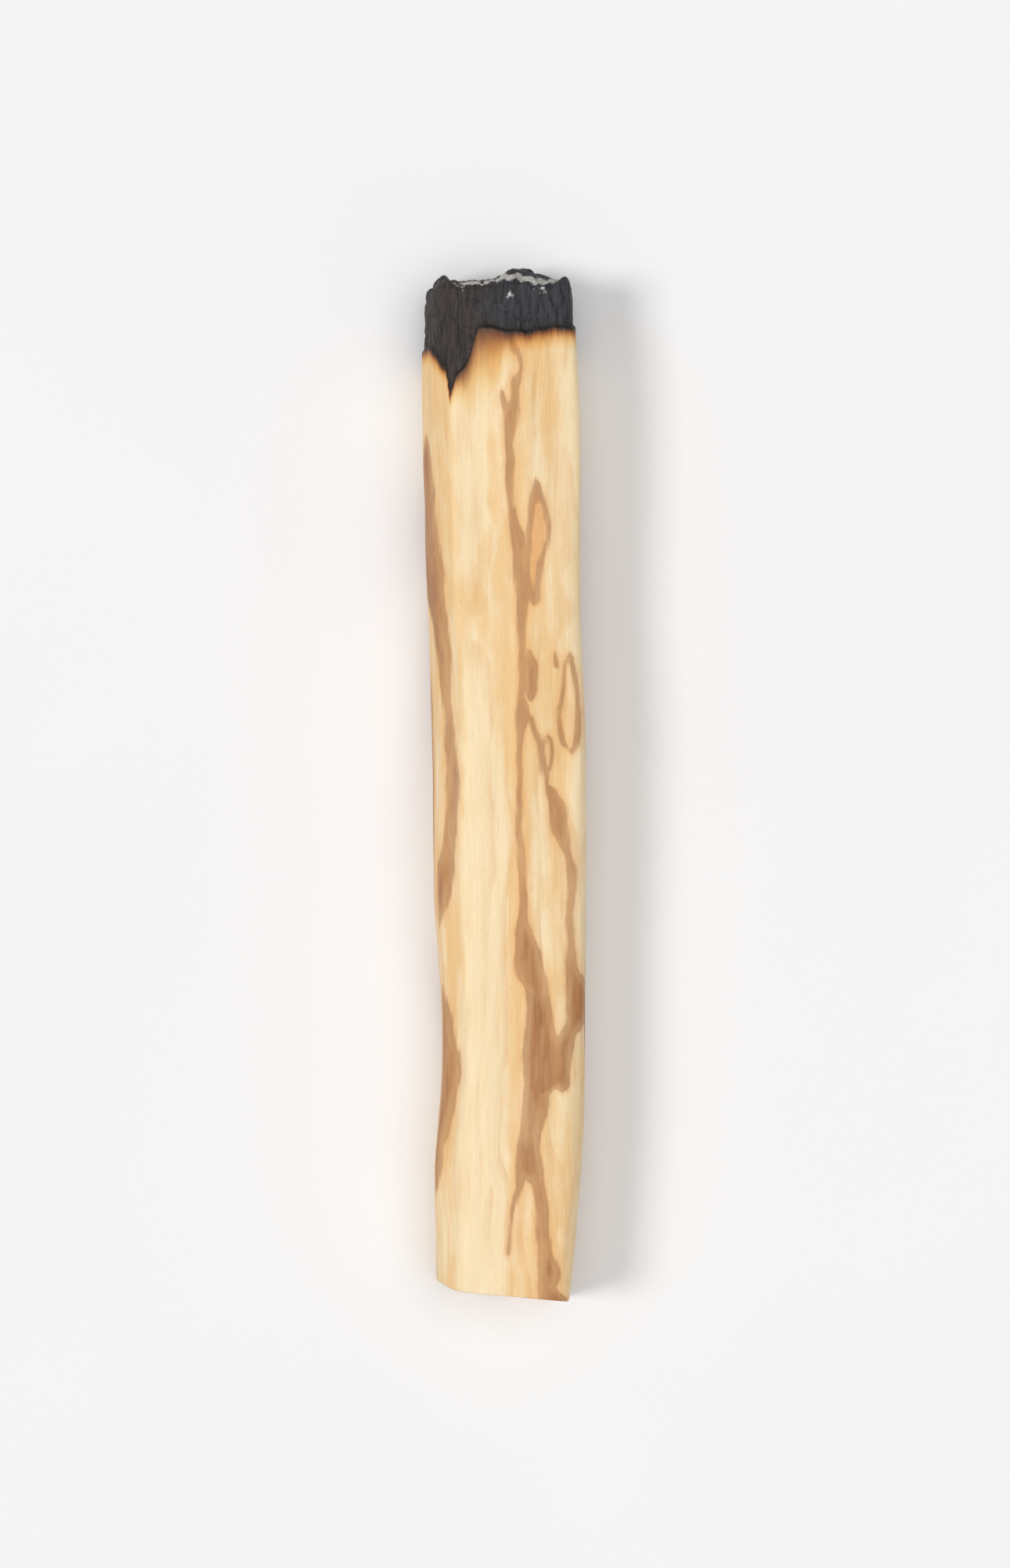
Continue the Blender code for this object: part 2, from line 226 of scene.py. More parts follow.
@dataclass
class SplitBlank:
    """The split and sawn length of wood: its long edges, bevels, leans and rippled faces, in mm.

    Attributes:
        length: the whole stick's length.
        thickness: its height at the top of the ridge.
        left_edge: (place along, place across) of its left edge, seen from above.
        right_edge: the same of its right edge.
        ridge_place, ridge_drop: where the top's ridge runs, and how far under the thickness.
        left_bevel to right_wane: how far the upper and lower edges are cut in, on each side.
        left_lean, right_lean: how far each wall leans, in degrees.
        axis_height: how high the middle line runs.
        edge_sharpness: the power of the mean that rounds the edges between the sides.
        sunk: how far under the ground the underside is taken, so that it ends up flat.
        sawn_cut: (place across, place along) of the saw's cut.
        cut_lean: how much further in the cut is at the top than at the ground.
        cut_fades: how far from the sawn end its slant still shifts the wood.
        sawn_rim: how far the cut's rim is rounded.
        top_faces, bevel_faces, wane_faces: the ways that the sides right and left of the ridge, of
            the upper edges and of the lower edges face, in degrees from +X towards +Z.
        grain: the swells, ripples and raised fibres of its faces.
        torn, torn_from, torn_depth: where fibres are torn out, and how deep.
    """

    length: float = 100.0
    thickness: float = 12.4
    left_edge: Stations = (
        (43.5, -7.97), (39, -7.93), (30, -7.8), (22, -7.65), (18, -7.45), (14, -7.25), (10, -7.1),
        (5, -6.9), (0, -6.8), (-4, -6.85), (-8, -6.88), (-12, -6.78), (-16, -6.45), (-21, -6.12),
        (-27, -6.12), (-30, -6.3), (-33, -6.62), (-37, -6.92), (-40, -6.85), (-43, -6.7), (-50, -6.5),
    )
    right_edge: Stations = (
        (43.5, 7), (39, 7.1), (30, 7.2), (20, 7.3), (15, 7.5), (11, 7.75), (0, 7.9), (-8, 7.95),
        (-20, 7.95), (-28, 8), (-33, 7.9), (-38, 7.55), (-42, 7.1), (-45, 6.8), (-50, 6.2),
    )
    ridge_place: Stations = ((50, 0.3), (30, 0.8), (10, 1.6), (-20, 1.3), (-50, 2.2))
    ridge_drop: Stations = (
        (50, 0.3), (36, 0), (18, 0.25), (2, 0.05), (-18, 0.5), (-34, 0.2), (-50, 0.7),
    )
    left_bevel: Stations = (
        (50, 1.8), (30, 2.1), (10, 2.4), (-10, 2), (-25, 2.1), (-30, 2.2), (-38, 2.1), (-50, 2),
    )
    right_bevel: Stations = ((50, 0.5), (20, 0.6), (0, 1.2), (-25, 1.9), (-42, 1.5), (-50, 0.9))
    left_wane: Stations = ((50, 0.8), (28, 1.9), (5, 0.9), (-20, 1.2), (-36, 2.3), (-50, 1))
    right_wane: Stations = ((50, 1.1), (30, 0.7), (8, 1.6), (-16, 2.2), (-34, 1), (-50, 1.2))
    left_lean: Stations = ((50, 1), (22, 3.5), (-4, 0.5), (-30, -2), (-50, 1.5))
    right_lean: Stations = ((50, 2.5), (26, 0.5), (-2, 3), (-28, 4), (-50, 0.5))
    axis_height: float = 6.2
    edge_sharpness: float = 30.0
    sunk: float = 0.06
    sawn_cut: Stations = (
        (-7.5, -47.2), (-6.3, -48.3), (-5.2, -48.9), (-4, -49.1), (0, -49.45), (6.3, -50.05),
    )
    cut_lean: float = 0.5
    cut_fades: float = 9.0
    sawn_rim: float = 0.22
    top_faces: Span = (84.5, 96.0)
    bevel_faces: Span = (52.0, 149.0)
    wane_faces: Span = (317.0, 222.0)
    grain: tuple[Grain, ...] = (
        Grain(6.0, 11.0, 23, 0.16), Grain(2.6, 17.0, 11, 0.17), Grain(0.9, 14.0, 37, 0.045),
        Grain(0.45, 6.0, 41, 0.022),
    )
    torn: Grain = Grain(1.5, 9.0, 53)
    torn_from: Span = (0.45, 0.75)
    torn_depth: float = 0.07

    def axis_place(self, along: np.ndarray) -> np.ndarray:
        """How far across the stick its middle line runs: halfway between its edges."""
        return (smooth_curve(self.left_edge, along) + smooth_curve(self.right_edge, along)) / 2

    def sides(self, along: np.ndarray) -> list[tuple[float | np.ndarray, np.ndarray, np.ndarray]]:
        """The flat sides that bound the section.

        Args:
            along: places along the stick.

        Returns:
            For each side the way that it faces, in degrees from +X towards +Z, and x and z of a
            point on it.
        """
        left, right = smooth_curve(self.left_edge, along), smooth_curve(self.right_edge, along)
        ridge = smooth_curve(self.ridge_place, along)
        top = self.thickness - smooth_curve(self.ridge_drop, along)
        left_arris = left + smooth_curve(self.left_bevel, along)
        right_arris = right - smooth_curve(self.right_bevel, along)
        top_right, top_left = self.top_faces
        left_top = top - (ridge - left_arris) * math.tan(math.radians(top_left - 90))
        right_top = top - (right_arris - ridge) * math.tan(math.radians(90 - top_right))
        low, middle = np.full_like(along, -self.sunk), np.full_like(along, self.axis_height)
        return [
            (smooth_curve(self.right_lean, along), right, middle),
            (self.bevel_faces[0], right_arris, right_top),
            (top_right, ridge, top),
            (top_left, ridge, top),
            (self.bevel_faces[1], left_arris, left_top),
            (180.0 - smooth_curve(self.left_lean, along), left, middle),
            (self.wane_faces[1], left + smooth_curve(self.left_wane, along), low),
            (270.0, ridge, low),
            (self.wane_faces[0], right - smooth_curve(self.right_wane, along), low),
        ]

    def radius(self, angle: np.ndarray, along: np.ndarray) -> np.ndarray:
        """The distance from the middle line to the surface.

        It is a power mean of the distances to the sides, which rounds the edges between them.

        Args:
            angle: angles round the stick, from +X towards +Z.
            along: places along it.

        Returns:
            The distance at each angle and place.
        """
        total = np.zeros(np.broadcast(angle, along).shape)
        for facing, x, z in self.sides(along):
            facing = np.radians(facing)
            reach = np.cos(facing) * (x - self.axis_place(along)) + np.sin(facing) * (z - self.axis_height)
            total += np.maximum(0, np.cos(angle - facing) / reach) ** self.edge_sharpness
        return total ** (-1 / self.edge_sharpness)

    def even_angles(self, count: int) -> np.ndarray:
        """Angles that share the girth of the middle section into equal steps, from the underside round."""
        angle = np.linspace(-np.pi / 2, 1.5 * np.pi, CURVE_STEPS + 1)
        reach = self.radius(angle, np.zeros_like(angle))
        places = even_steps(reach * np.cos(angle), reach * np.sin(angle), count)
        return np.interp(places, np.arange(len(angle)), angle)

    def ripples(self, point: np.ndarray) -> np.ndarray:
        """How far the split faces stand out: swells, ripples and raised fibres, all long with the grain.

        Args:
            point: places on the smooth surface, in mm.

        Returns:
            The height at each place, in mm.
        """
        raised = sum(grain.at(point) for grain in self.grain)
        return raised - self.torn_depth * step(*self.torn_from, self.torn.at(point))


@dataclass
class BurntEnd:
    """The charred end: its reach, its rounding, where the char stops and how it cracks, in mm.

    Attributes:
        reach: (place across, place along) of the end's outline, low down.
        rim: the same along its top rim.
        rim_slope: the heights between which the outline turns from the one to the other.
        starts: the place along where the end starts to round.
        squareness: the power of the superellipse that rounds it.
        char_from: the place along from where the rows lie closer, for the char's cracks.
        shrink, shrink_over: how far the char has shrunk back, and over what depth it does so.
        edge: (angle round the stick in degrees, place along) of where the char stops.
        scorch: (angle, width) of the brown fringe outside the char.
        cell, crack_seed, crack_depth, crack_width, swell: the swollen blocks and the cracks round them.
        hair_cell, hair_seed, hair_depth, hair_width: the hair cracks that cross the blocks.
        side_strength: how strong the cracks are on the sides, as a share of those on the end.
        fray: how the edge of the char runs in and out.
        fibre, pits: the char's fine grain.
        highlight_past_rim, highlight_height, highlight_left, highlight_right: where the painted
            highlight along the top rim, a pale grey line in the ash's colour, starts and is full: past the
            rim along the stick, up, and from the left and the right.
        ash_and_highlight_depth: the same, in mm inside the char, for all ash and for that highlight.
    """

    reach: Stations = (
        (-7.6, 48.1), (-6.9, 48.85), (-6.25, 49.2), (-5.4, 48.8), (-3.2, 48.7), (-1, 49), (0.2, 49.7),
        (1.7, 50), (3, 49.9), (4.2, 49.5), (5.2, 49), (6.15, 49.3), (6.9, 48.5),
    )
    rim: Stations = (
        (-7.6, 47.9), (-6.25, 48.9), (-5.4, 48.4), (0, 48.5), (4.8, 48.55), (6.15, 49), (6.9, 48.1),
    )
    rim_slope: Span = (6.0, 12.0)
    starts: float = 43.5
    squareness: float = 11.0
    char_from: float = 36.5
    edge: Stations = (
        (-90, 40.6), (-45, 41.6), (0, 42.9), (36, 43.6), (46, 43.45), (56, 43.2), (71, 43.05), (84, 43.15),
        (100, 43.3), (111, 43.4), (115, 43.3), (118.5, 42.2), (121.5, 40.8), (125.4, 39.7), (129.5, 39),
        (133, 38.2), (135, 37.4), (136.2, 37), (137.4, 37.9), (139.4, 39.3), (143, 39.8), (149, 40.3),
        (157, 41.1), (165, 41.8), (180, 41.6), (225, 40.9), (270, 40.6),
    )
    scorch: Stations = (
        (-90, 1.6), (0, 1.6), (40, 2), (60, 2), (84, 2.8), (96, 5), (106, 7.2), (113, 8), (118, 7.4),
        (124, 5.2), (130, 2.9), (136, 1.6), (145, 1.6), (165, 1.7), (200, 1.8), (270, 1.6),
    )
    shrink: float = 0.28
    shrink_over: float = 0.5
    cell: Point = (1.5, 2.9, 1.5)
    crack_seed: int = 5
    crack_depth: float = 0.3
    crack_width: float = 0.28
    swell: float = 0.16
    hair_cell: Point = (0.62, 0.95, 0.62)
    hair_seed: int = 71
    hair_depth: float = 0.07
    hair_width: float = 0.25
    side_strength: float = 0.5
    fray: tuple[Grain, ...] = (Grain(0.9, 6.0, 61, 0.2), Grain(0.35, 3.0, 67, 0.12))
    fibre: Grain = Grain(0.33, 3.2, 73, 0.05)
    pits: Grain = Grain(0.8, 0.8, 79, 0.05)
    # Where the painted highlight, a pale grey line in the ash's colour, runs along the top rim
    highlight_past_rim: Span = (-0.25, 0.1)
    highlight_height: Span = (8.2, 9.8)
    highlight_left: Span = (-5.4, -4.4)
    highlight_right: Span = (6.1, 5.5)
    ash_and_highlight_depth: Span = (2.0, 3.5)

    def profile(self, half_width: float, depth: float, count: int) -> tuple[np.ndarray, np.ndarray]:
        """The rounding of the end, a superellipse walked in even steps from its side to its middle.

        Args:
            half_width: half of the end's width.
            depth: how far the rounding runs along the stick.
            count: how many steps to give.

        Returns:
            The share of the full section, and the share of the way to the tip, at each step.
        """
        t = np.pi / 2 * (1 - (1 - np.linspace(0, 1, CURVE_STEPS)) ** 4)
        inward, onward = np.cos(t) ** (2 / self.squareness), np.sin(t) ** (2 / self.squareness)
        places = even_steps(inward * half_width, onward * depth, count)
        index = np.arange(len(t))
        return np.interp(places, index, inward), np.interp(places, index, onward)

    def depth(self, angle: np.ndarray, along: np.ndarray) -> np.ndarray:
        """How far inside the char a place is, in mm along the grain, and below 0 on unburnt wood."""
        return along - smooth_curve(self.edge, turn_degrees(angle))

    def frayed_depth(self, angle: np.ndarray, point: np.ndarray) -> np.ndarray:
        """The depth with the edge frayed fibre by fibre, as fire eats further along some than others."""
        return self.depth(angle, point[..., 1]) + sum(grain.at(point) for grain in self.fray)

    def painted_rim_highlight(self, point: np.ndarray) -> np.ndarray:
        """How much painted highlight lies on the slope just past the top rim, where the end falls away: a
        pale grey line in the ash's colour.
        """
        x, y, z = np.moveaxis(point, -1, 0)
        past_rim = step(*self.highlight_past_rim, y - smooth_curve(self.rim, x))
        across = step(*self.highlight_left, x) * step(*self.highlight_right, x)
        return past_rim * step(*self.highlight_height, z) * across

    def relief(self, point: np.ndarray, depth: np.ndarray, facing_tip: np.ndarray) -> np.ndarray:
        """How far the char stands out: shrunk back from the wood, and cracked into swollen blocks.

        Args:
            point: places on the smooth surface, in mm.
            depth: how far inside the char each one is.
            facing_tip: 1 where the surface faces along the stick, 0 on its sides.

        Returns:
            The height at each place, in mm.
        """
        char = step(0, self.shrink_over, depth)
        coarse = blocks(point / self.cell, self.crack_seed)
        crack = self.crack_depth * (1 - step(0, self.crack_width, coarse))
        hair_crack = 1 - step(0, self.hair_width, blocks(point / self.hair_cell, self.hair_seed))
        strength = self.side_strength + (1 - self.side_strength) * facing_tip
        broken = self.swell * step(0, 1, coarse) - crack - self.hair_depth * hair_crack
        return char * (strength * broken - self.shrink + self.fibre.at(point) + self.pits.at(point))


class StreakKind(Enum):
    """How a streak of heartwood shows."""

    FILLED = "brown all over"
    LOOP = "a brown line round paler wood"


@dataclass(frozen=True)
class Streak:
    """One brown streak in the wood.

    Attributes:
        course: (place along, its left, its right). Left and right are as seen from the camera,
            and past the edges that it sees they go on down the sides, in mm of surface.
        kind: filled, or a loop's outline only.
        line: half the width of a loop's outline.
        warmth: how orange the wood inside a loop is, from 0 to 1.
    """

    course: Course
    kind: StreakKind = StreakKind.FILLED
    line: float = 0.27
    warmth: float = 0.0

    def inside(self, round_: np.ndarray, along: np.ndarray, girth: np.ndarray) -> np.ndarray:
        """How far inside the streak's course a place is.

        It is the lesser of the distances to its left and right, less how far the place is past the
        course's ends.

        Args:
            round_: places round the girth, in mm.
            along: places along the stick, in mm.
            girth: the whole way round, in mm.

        Returns:
            The distance in mm, below 0 outside.
        """
        course = np.array(self.course, float)
        left = smooth_curve(tuple(map(tuple, course[:, [0, 1]])), along)
        right = smooth_curve(tuple(map(tuple, course[:, [0, 2]])), along)
        middle = (left + right) / 2
        off = np.abs((round_ - middle + girth / 2) % girth - girth / 2)
        beyond = np.maximum(0, np.maximum(along - course[:, 0].max(), course[:, 0].min() - along))
        return (right - left) / 2 - off - beyond

    def brown(self, inside: np.ndarray) -> np.ndarray:
        """How far inside the brown a place is: the streak itself, or the line round a loop."""
        return inside if self.kind is StreakKind.FILLED else self.line - np.abs(inside)


def line(width: float, *points: Span) -> Streak:
    """A thin brown vein of even width that tapers out at both ends.

    Args:
        width: its width in mm.
        points: (place along, place round the girth) along its course.

    Returns:
        The streak.
    """
    halves = [width / 2] * len(points)
    halves[0] = halves[-1] = VEIN_TIP
    return Streak(tuple((y, s - half, s + half) for (y, s), half in zip(points, halves)))


def loop(warmth: float, *course: Point, width: float = 0.27) -> Streak:
    """A loop: a brown line round paler wood.

    Args:
        warmth: how orange the wood inside is, from 0 to 1.
        course: (place along, left, right) of the line's middle.
        width: half the line's width in mm.

    Returns:
        The streak.
    """
    return Streak(course, StreakKind.LOOP, width, warmth)


@dataclass
class Figure:
    """The brown heartwood figure, side by side round the stick, in mm.

    Attributes:
        top: the streaks of the top, as the photograph shows them.
        left: those of the upper left edge, and of the side under it.
        right: those of the right side.
        under: those of the underside.
        wedge_slope: how fast the streaks thin on an end face, with the depth under its rim.
        patches: yellower and paler places: (place across, place along, half width, half length,
            how much paler; below 0 is yellower).
        tone: (place round the girth, how pale the wood is there), from 0, straw, to 1, cream.
        patch_fades: where a patch starts to fade and where it ends, as shares of its half size.
        warm_from: how far inside a loop its warmth starts and is full, in mm.
    """

    top: tuple[Streak, ...] = (
        Streak((
            (44.2, 0, 0.7), (43, 0.35, 1), (42, 0.7, 1.35), (41, 1.2, 1.65), (40, 1.3, 1.75),
            (39.4, 0.95, 1.6), (38.5, 0.7, 1.4), (37.5, 0.6, 1.3), (36.6, 0.3, 1.3), (35.8, -0.1, 1.25),
            (35, -0.1, 1.15), (34, 0, 1), (33, 0.05, 0.8), (31, 0.15, 0.95), (30, 0.1, 0.9),
            (29, 0.15, 0.8), (28, 0.2, 0.8), (27, 0.3, 0.95), (26, 0.4, 1.15), (25, 0.5, 1.55),
            (24, 0.6, 2), (23, 0.7, 2.3), (22, 0.9, 2.1), (21, 0.95, 2.05), (20, 1, 2.1), (19, 1.1, 2.3),
            (18, 1.2, 2.45), (17, 1.2, 2.1), (16, 1.2, 2), (15, 1.25, 2), (13, 1.3, 2.05), (11, 1.35, 1.95),
            (9, 1.3, 1.9), (8, 1.15, 2.15), (7, 1.05, 2.4), (6, 1.1, 2.3), (5, 1.2, 1.9), (3, 1.15, 1.7),
            (0, 1.15, 1.65), (-3, 1.15, 1.65), (-6, 1.25, 1.85), (-8, 1.3, 2.05), (-10, 1.4, 2.1),
            (-12, 1.4, 2.2), (-13.5, 1.2, 2.4), (-14, 1.1, 2.6), (-15, 1.1, 3), (-16, 1.1, 3.45),
            (-17, 1, 3.7), (-18, 1.05, 3.9), (-19, 1.4, 4.1), (-19.6, 2, 4.25), (-20.5, 2.2, 4.4),
            (-22, 2.15, 4.7), (-23, 2.05, 4.85), (-24, 1.95, 5.05), (-25, 1.85, 5.5), (-26.5, 1.75, 6.2),
            (-28.4, 1.85, 6.4), (-29.2, 1.85, 5.6), (-29.7, 1.85, 4.6), (-31, 1.75, 4.25),
            (-32, 1.65, 3.95), (-33, 1.55, 3.7), (-34, 1.45, 3.4), (-35, 1.2, 3.35), (-36, 1.15, 3.5),
            (-37.2, 1.1, 3.75),
        )),
        Streak((
            (-36.8, 2.2, 3.7), (-38.3, 2.5, 3.9), (-39, 2.75, 4), (-40, 3, 4.15), (-42, 3.15, 4.3),
            (-44, 3.25, 4.45), (-45, 3.25, 4.55), (-46, 3.2, 5.05), (-47, 3.2, 5.4), (-48, 3.2, 5.25),
            (-48.8, 3.2, 5.1), (-49.4, 3.2, 6), (-50.5, 3.1, 6.3), (-52, 3.1, 6.3),
        )),
        Streak((
            (-36.8, 1.1, 2.1), (-38.3, 1.1, 1.95), (-39, 1.1, 1.7), (-40, 0.85, 1.3), (-41, 0.6, 1),
            (-42.5, 0.5, 0.85), (-44, 0.3, 0.6), (-45.3, 0.2, 0.4),
        )),
        Streak((
            (1.6, 3.7, 4.1), (0, 3.95, 4.3), (-0.5, 4.1, 5.1), (-1, 4.15, 5.3), (-2, 4.35, 6),
            (-3, 4.45, 6.2), (-4, 4.5, 6.25), (-5, 4.85, 6.25), (-6, 5.5, 6.3), (-7, 5.95, 6.6),
            (-8, 6.1, 6.95), (-9.5, 6.05, 6.95), (-12, 5.9, 6.65), (-14, 6, 6.65), (-16, 6, 6.9),
            (-18, 6, 7.3), (-19.5, 6, 8.2), (-21, 6.05, 8.6), (-22.6, 6, 8.2), (-24, 5.6, 7.2),
            (-25.5, 4.8, 6.8), (-27, 4.6, 6.65), (-28.5, 4.8, 6.55), (-29.2, 5, 6.4),
        )),
        line(0.55, (38, -0.35), (37, -0.15), (36.2, 0.05), (35.2, 0.3)),
        Streak(((29.4, 3, 3.2), (28.6, 2.65, 3.5), (27.8, 2.6, 3.6), (27.2, 2.7, 3.2), (26.8, 2.8, 3))),
        loop(1, (29, 3, 3.3), (28, 2.8, 3.55), (27, 2.6, 3.9), (26, 2.5, 4.1),
             (25, 2.4, 4.25), (24, 2.3, 4.25), (23, 2.25, 4.05), (22, 2.2, 3.7), (21, 2.2, 3.45),
             (20, 2.3, 3.3), (19, 2.45, 3.2), (18.2, 2.6, 3.1),
             (17.5, 2.85, 3)),
        Streak((
            (12.9, 2.2, 2.5), (12, 1.8, 3.05), (11, 1.8, 3.25), (10, 1.8, 3.2), (9, 1.8, 3.1),
            (8.3, 2.1, 2.9),
        )),
        loop(0.15, (12.3, 6.4, 6.6), (11.6, 6, 6.8), (11, 5.9, 6.95), (10, 5.87, 7.15),
             (9, 5.8, 7.25), (8, 5.65, 7.28), (7, 5.45, 7.28), (6, 5.35, 7.22),
             (5, 5.5, 7.2), (4.2, 5.8, 7.1), (3.6, 6.2, 6.95), (3.2, 6.5, 6.75), width=0.23),
        line(0.5, (12.8, 4.9), (12, 5.05), (11.3, 5.25), (11, 5.8)),
        line(0.55, (7.6, 2), (6, 2.6), (5, 2.95), (4, 3.4), (3, 3.6), (2, 3.8), (0.8, 4),
             (-0.4, 4.2)),
        loop(0.3, (4.7, 4.2, 4.3), (4, 3.95, 4.6), (3, 3.8, 4.8), (2, 3.95, 4.6), (1.3, 4.15, 4.3),
             width=0.18),
    )
    left: tuple[Streak, ...] = (
        Streak((
            (33.2, -9.6, -8.6), (32, -10.5, -7.9), (30, -12.5, -7.5), (28, -14.5, -7.2), (26, -15, -7),
            (25, -15.2, -6.85), (24, -15.3, -6.7), (23, -15.2, -6.5), (22, -15, -6.35), (20, -14.2, -6.1),
            (18, -12.6, -5.95), (16, -10.4, -5.8), (14, -8.4, -5.7), (12.5, -7.4, -5.55), (11, -6.75, -5.6),
            (9, -6.4, -5.5), (7, -6.05, -5.3), (5, -5.95, -5), (3, -5.95, -4.9), (1, -5.8, -4.6),
            (-1, -5.8, -4.6), (-3, -5.85, -4.8), (-5, -6, -5), (-7, -6.5, -5.15), (-9, -7.2, -5.25),
            (-11, -7.4, -5.6), (-12.5, -7.2, -6.1), (-13.8, -6.9, -6.5),
        )),
        Streak((
            (-19.6, -7, -6), (-21, -7.8, -5.55), (-22, -8.2, -5.25), (-24, -8.6, -5.05), (-26, -9, -4.6),
            (-27.5, -9.2, -4.45), (-30, -9.2, -4.8), (-32, -9, -5.15), (-33, -8.8, -5.4),
            (-35, -8.6, -6.05), (-37, -8.4, -6.35), (-39, -8.1, -6.8),
        )),
        Streak((
            (20, -14.4, -14.2), (14, -14.6, -13), (6, -14.2, -11.4), (-4, -13, -10), (-12, -12.8, -10.2),
            (-20, -13.6, -11.8), (-27, -13.8, -13), (-33, -13.7, -13.5),
        )),
        line(0.5, (4, -9.6), (-8, -8.6), (-22, -9), (-36, -10.4), (-52, -11)),
        loop(0.5, (33, -12.4, -12.3), (30, -13.2, -11.8), (26, -13.6, -11.9), (22, -13, -12.2),
             (20, -12.7, -12.6)),
        line(0.45, (38, -16), (24, -17.2), (8, -16.9), (-10, -17.8)),
    )
    right: tuple[Streak, ...] = (
        Streak((
            (-12, 9.6, 9.8), (-16, 8.4, 11), (-21, 8.4, 12.8), (-27, 9.2, 13.4), (-33, 10.6, 13.2),
            (-40, 11.4, 13.6), (-47, 11.6, 14.4), (-53, 11.6, 14.8),
        )),
        line(0.55, (42, 10.4), (33, 11.4), (24, 10.6), (12, 11.4), (2, 12.8), (-10, 12.2),
             (-16, 11.6)),
        loop(0.7, (27, 12.2, 12.3), (24, 11.7, 13.6), (19, 11.9, 14.2), (14, 12.3, 13.6),
             (11.5, 12.7, 12.9)),
        Streak((
            (34, 16.4, 16.6), (28, 15.6, 17.4), (18, 15.4, 18), (8, 16.2, 18), (-2, 17.2, 18),
            (-9, 17.6, 17.9),
        )),
        line(0.4, (6, 14.6), (-8, 15.2), (-20, 16.2), (-34, 15.8), (-52, 17)),
    )
    under: tuple[Streak, ...] = (
        Streak((
            (44, 19.4, 20.4), (30, 19.2, 21.6), (16, 19.8, 22.6), (2, 20.2, 22.2), (-12, 20.6, 21.8),
            (-22, 21, 21.4),
        )),
        Streak((
            (4, -20.6, -20.3), (-8, -21.6, -19.6), (-22, -22, -18.8), (-36, -21.4, -18.2),
            (-52, -20.8, -17.6),
        )),
        loop(0.6, (20, -21.2, -21), (14, -22.2, -20.2), (8, -21.8, -20.4), (4, -21.3, -21.1)),
        line(0.5, (40, 23.2), (20, 23.6), (-4, 22.8), (-30, 23.4), (-52, 22.6)),
    )
    wedge_slope: float = 0.24
    patch_fades: Span = (0.3, 1.3)
    warm_from: Span = (-0.1, 0.5)
    patches: tuple[tuple[float, float, float, float, float], ...] = (
        (-1.2, 36, 1.9, 9, -0.6), (-1.4, 20, 1.9, 14, -0.85), (-0.4, 4, 1.4, 8, -0.4),
        (-3, 17, 1.6, 5, -0.45), (-7, 40, 1.5, 5, -0.6), (0.9, -11, 0.7, 5, -0.8), (3.2, 42, 1.4, 5, -0.4),
        (4, 36, 1.2, 5, -0.3), (3.4, 29, 2, 5, 0.3), (-5.2, -16, 0.8, 6, -0.6), (-3.4, 33, 1.3, 6, 0.3),
        (3, -8, 1.2, 6, 0.25), (4, -15, 1.1, 5, 0.35), (-2, -34, 2, 9, 0.3), (-1.8, 41.5, 1.7, 3.6, -0.7),
        (-6.4, -43.5, 1.6, 7, 0.7), (-6.9, 1, 1, 8, 0.8),
    )
    tone: Stations = (
        (-26, 0.35), (-14, 0.5), (-9, 0.25), (-6.4, 0.2), (-5, 0.55), (-3.8, 1), (-0.6, 0.95), (0.7, 0.45),
        (2.5, 0.4), (5, 0.4), (6.6, 0.75), (8.2, 0.85), (12, 0.4), (20, 0.55), (26, 0.35),
    )

    def paleness(self, round_: np.ndarray, along: np.ndarray) -> np.ndarray:
        """How pale the wood is at each place: the tone round the girth, plus each soft-edged patch.

        Args:
            round_: places round the girth, in mm.
            along: places along the stick, in mm.

        Returns:
            The paleness: straw at 0 or under, cream at 1 or over.
        """
        pale = smooth_curve(self.tone, round_)
        for across, place, half_width, half_length, amount in self.patches:
            away = np.hypot((round_ - across) / half_width, (along - place) / half_length)
            pale = pale + amount * (1 - step(*self.patch_fades, away))
        return pale

    def fields(
        self, round_: np.ndarray, along: np.ndarray, girth: np.ndarray, shrink: np.ndarray,
        radius: np.ndarray,
    ) -> tuple[np.ndarray, np.ndarray]:
        """The figure at each place of the surface.

        On a side it is the nearest streak's. On an end face each streak narrows towards the middle,
        as the section does, and thins by a fixed slope with the depth under the rim.

        Args:
            round_: places round the girth, in mm.
            along: places along the stick, in mm.
            girth: the whole way round, in mm.
            shrink: how much of the full section the place has, 1 on a side.
            radius: the full section's radius there, in mm.

        Returns:
            How far inside the brown each place is, in mm, and how orange the wood is there.
        """
        brown, warm = np.full(round_.shape, -FAR), np.zeros(round_.shape)
        for streak in (*self.top, *self.left, *self.right, *self.under):
            inside = streak.inside(round_, along, girth)
            brown = np.maximum(brown, streak.brown(inside))
            warm = np.maximum(warm, streak.warmth * step(*self.warm_from, inside))
        under_rim = (1 - shrink) * radius
        return brown * shrink - self.wedge_slope * under_rim, warm * shrink


@dataclass(frozen=True)
class AshSpot:
    """Where grey ash clings to the char.

    Attributes:
        place: its middle, in mm.
        size: how far it spreads along each axis, in mm.
        amount: how thick it is in the middle; at 1 it hides half of the char there or more.
    """

    place: Point
    size: Point
    amount: float

    def cover(self, point: np.ndarray) -> np.ndarray:
        """The ash at each place: the amount in the middle, falling to 0 at the spot's rim."""
        return self.amount * np.maximum(0, 1 - np.linalg.norm((point - self.place) / self.size, axis=-1))


def srgb(red: int, green: int, blue: int) -> Colour:
    """A colour given as it looks on a screen, from 0 to 255, as a shader's linear colour with alpha."""
    share = np.array([red, green, blue]) / 255
    linear = np.where(share <= 0.04045, share / 12.92, ((share + 0.055) / 1.055) ** 2.4)
    return (*(float(part) for part in linear), 1.0)


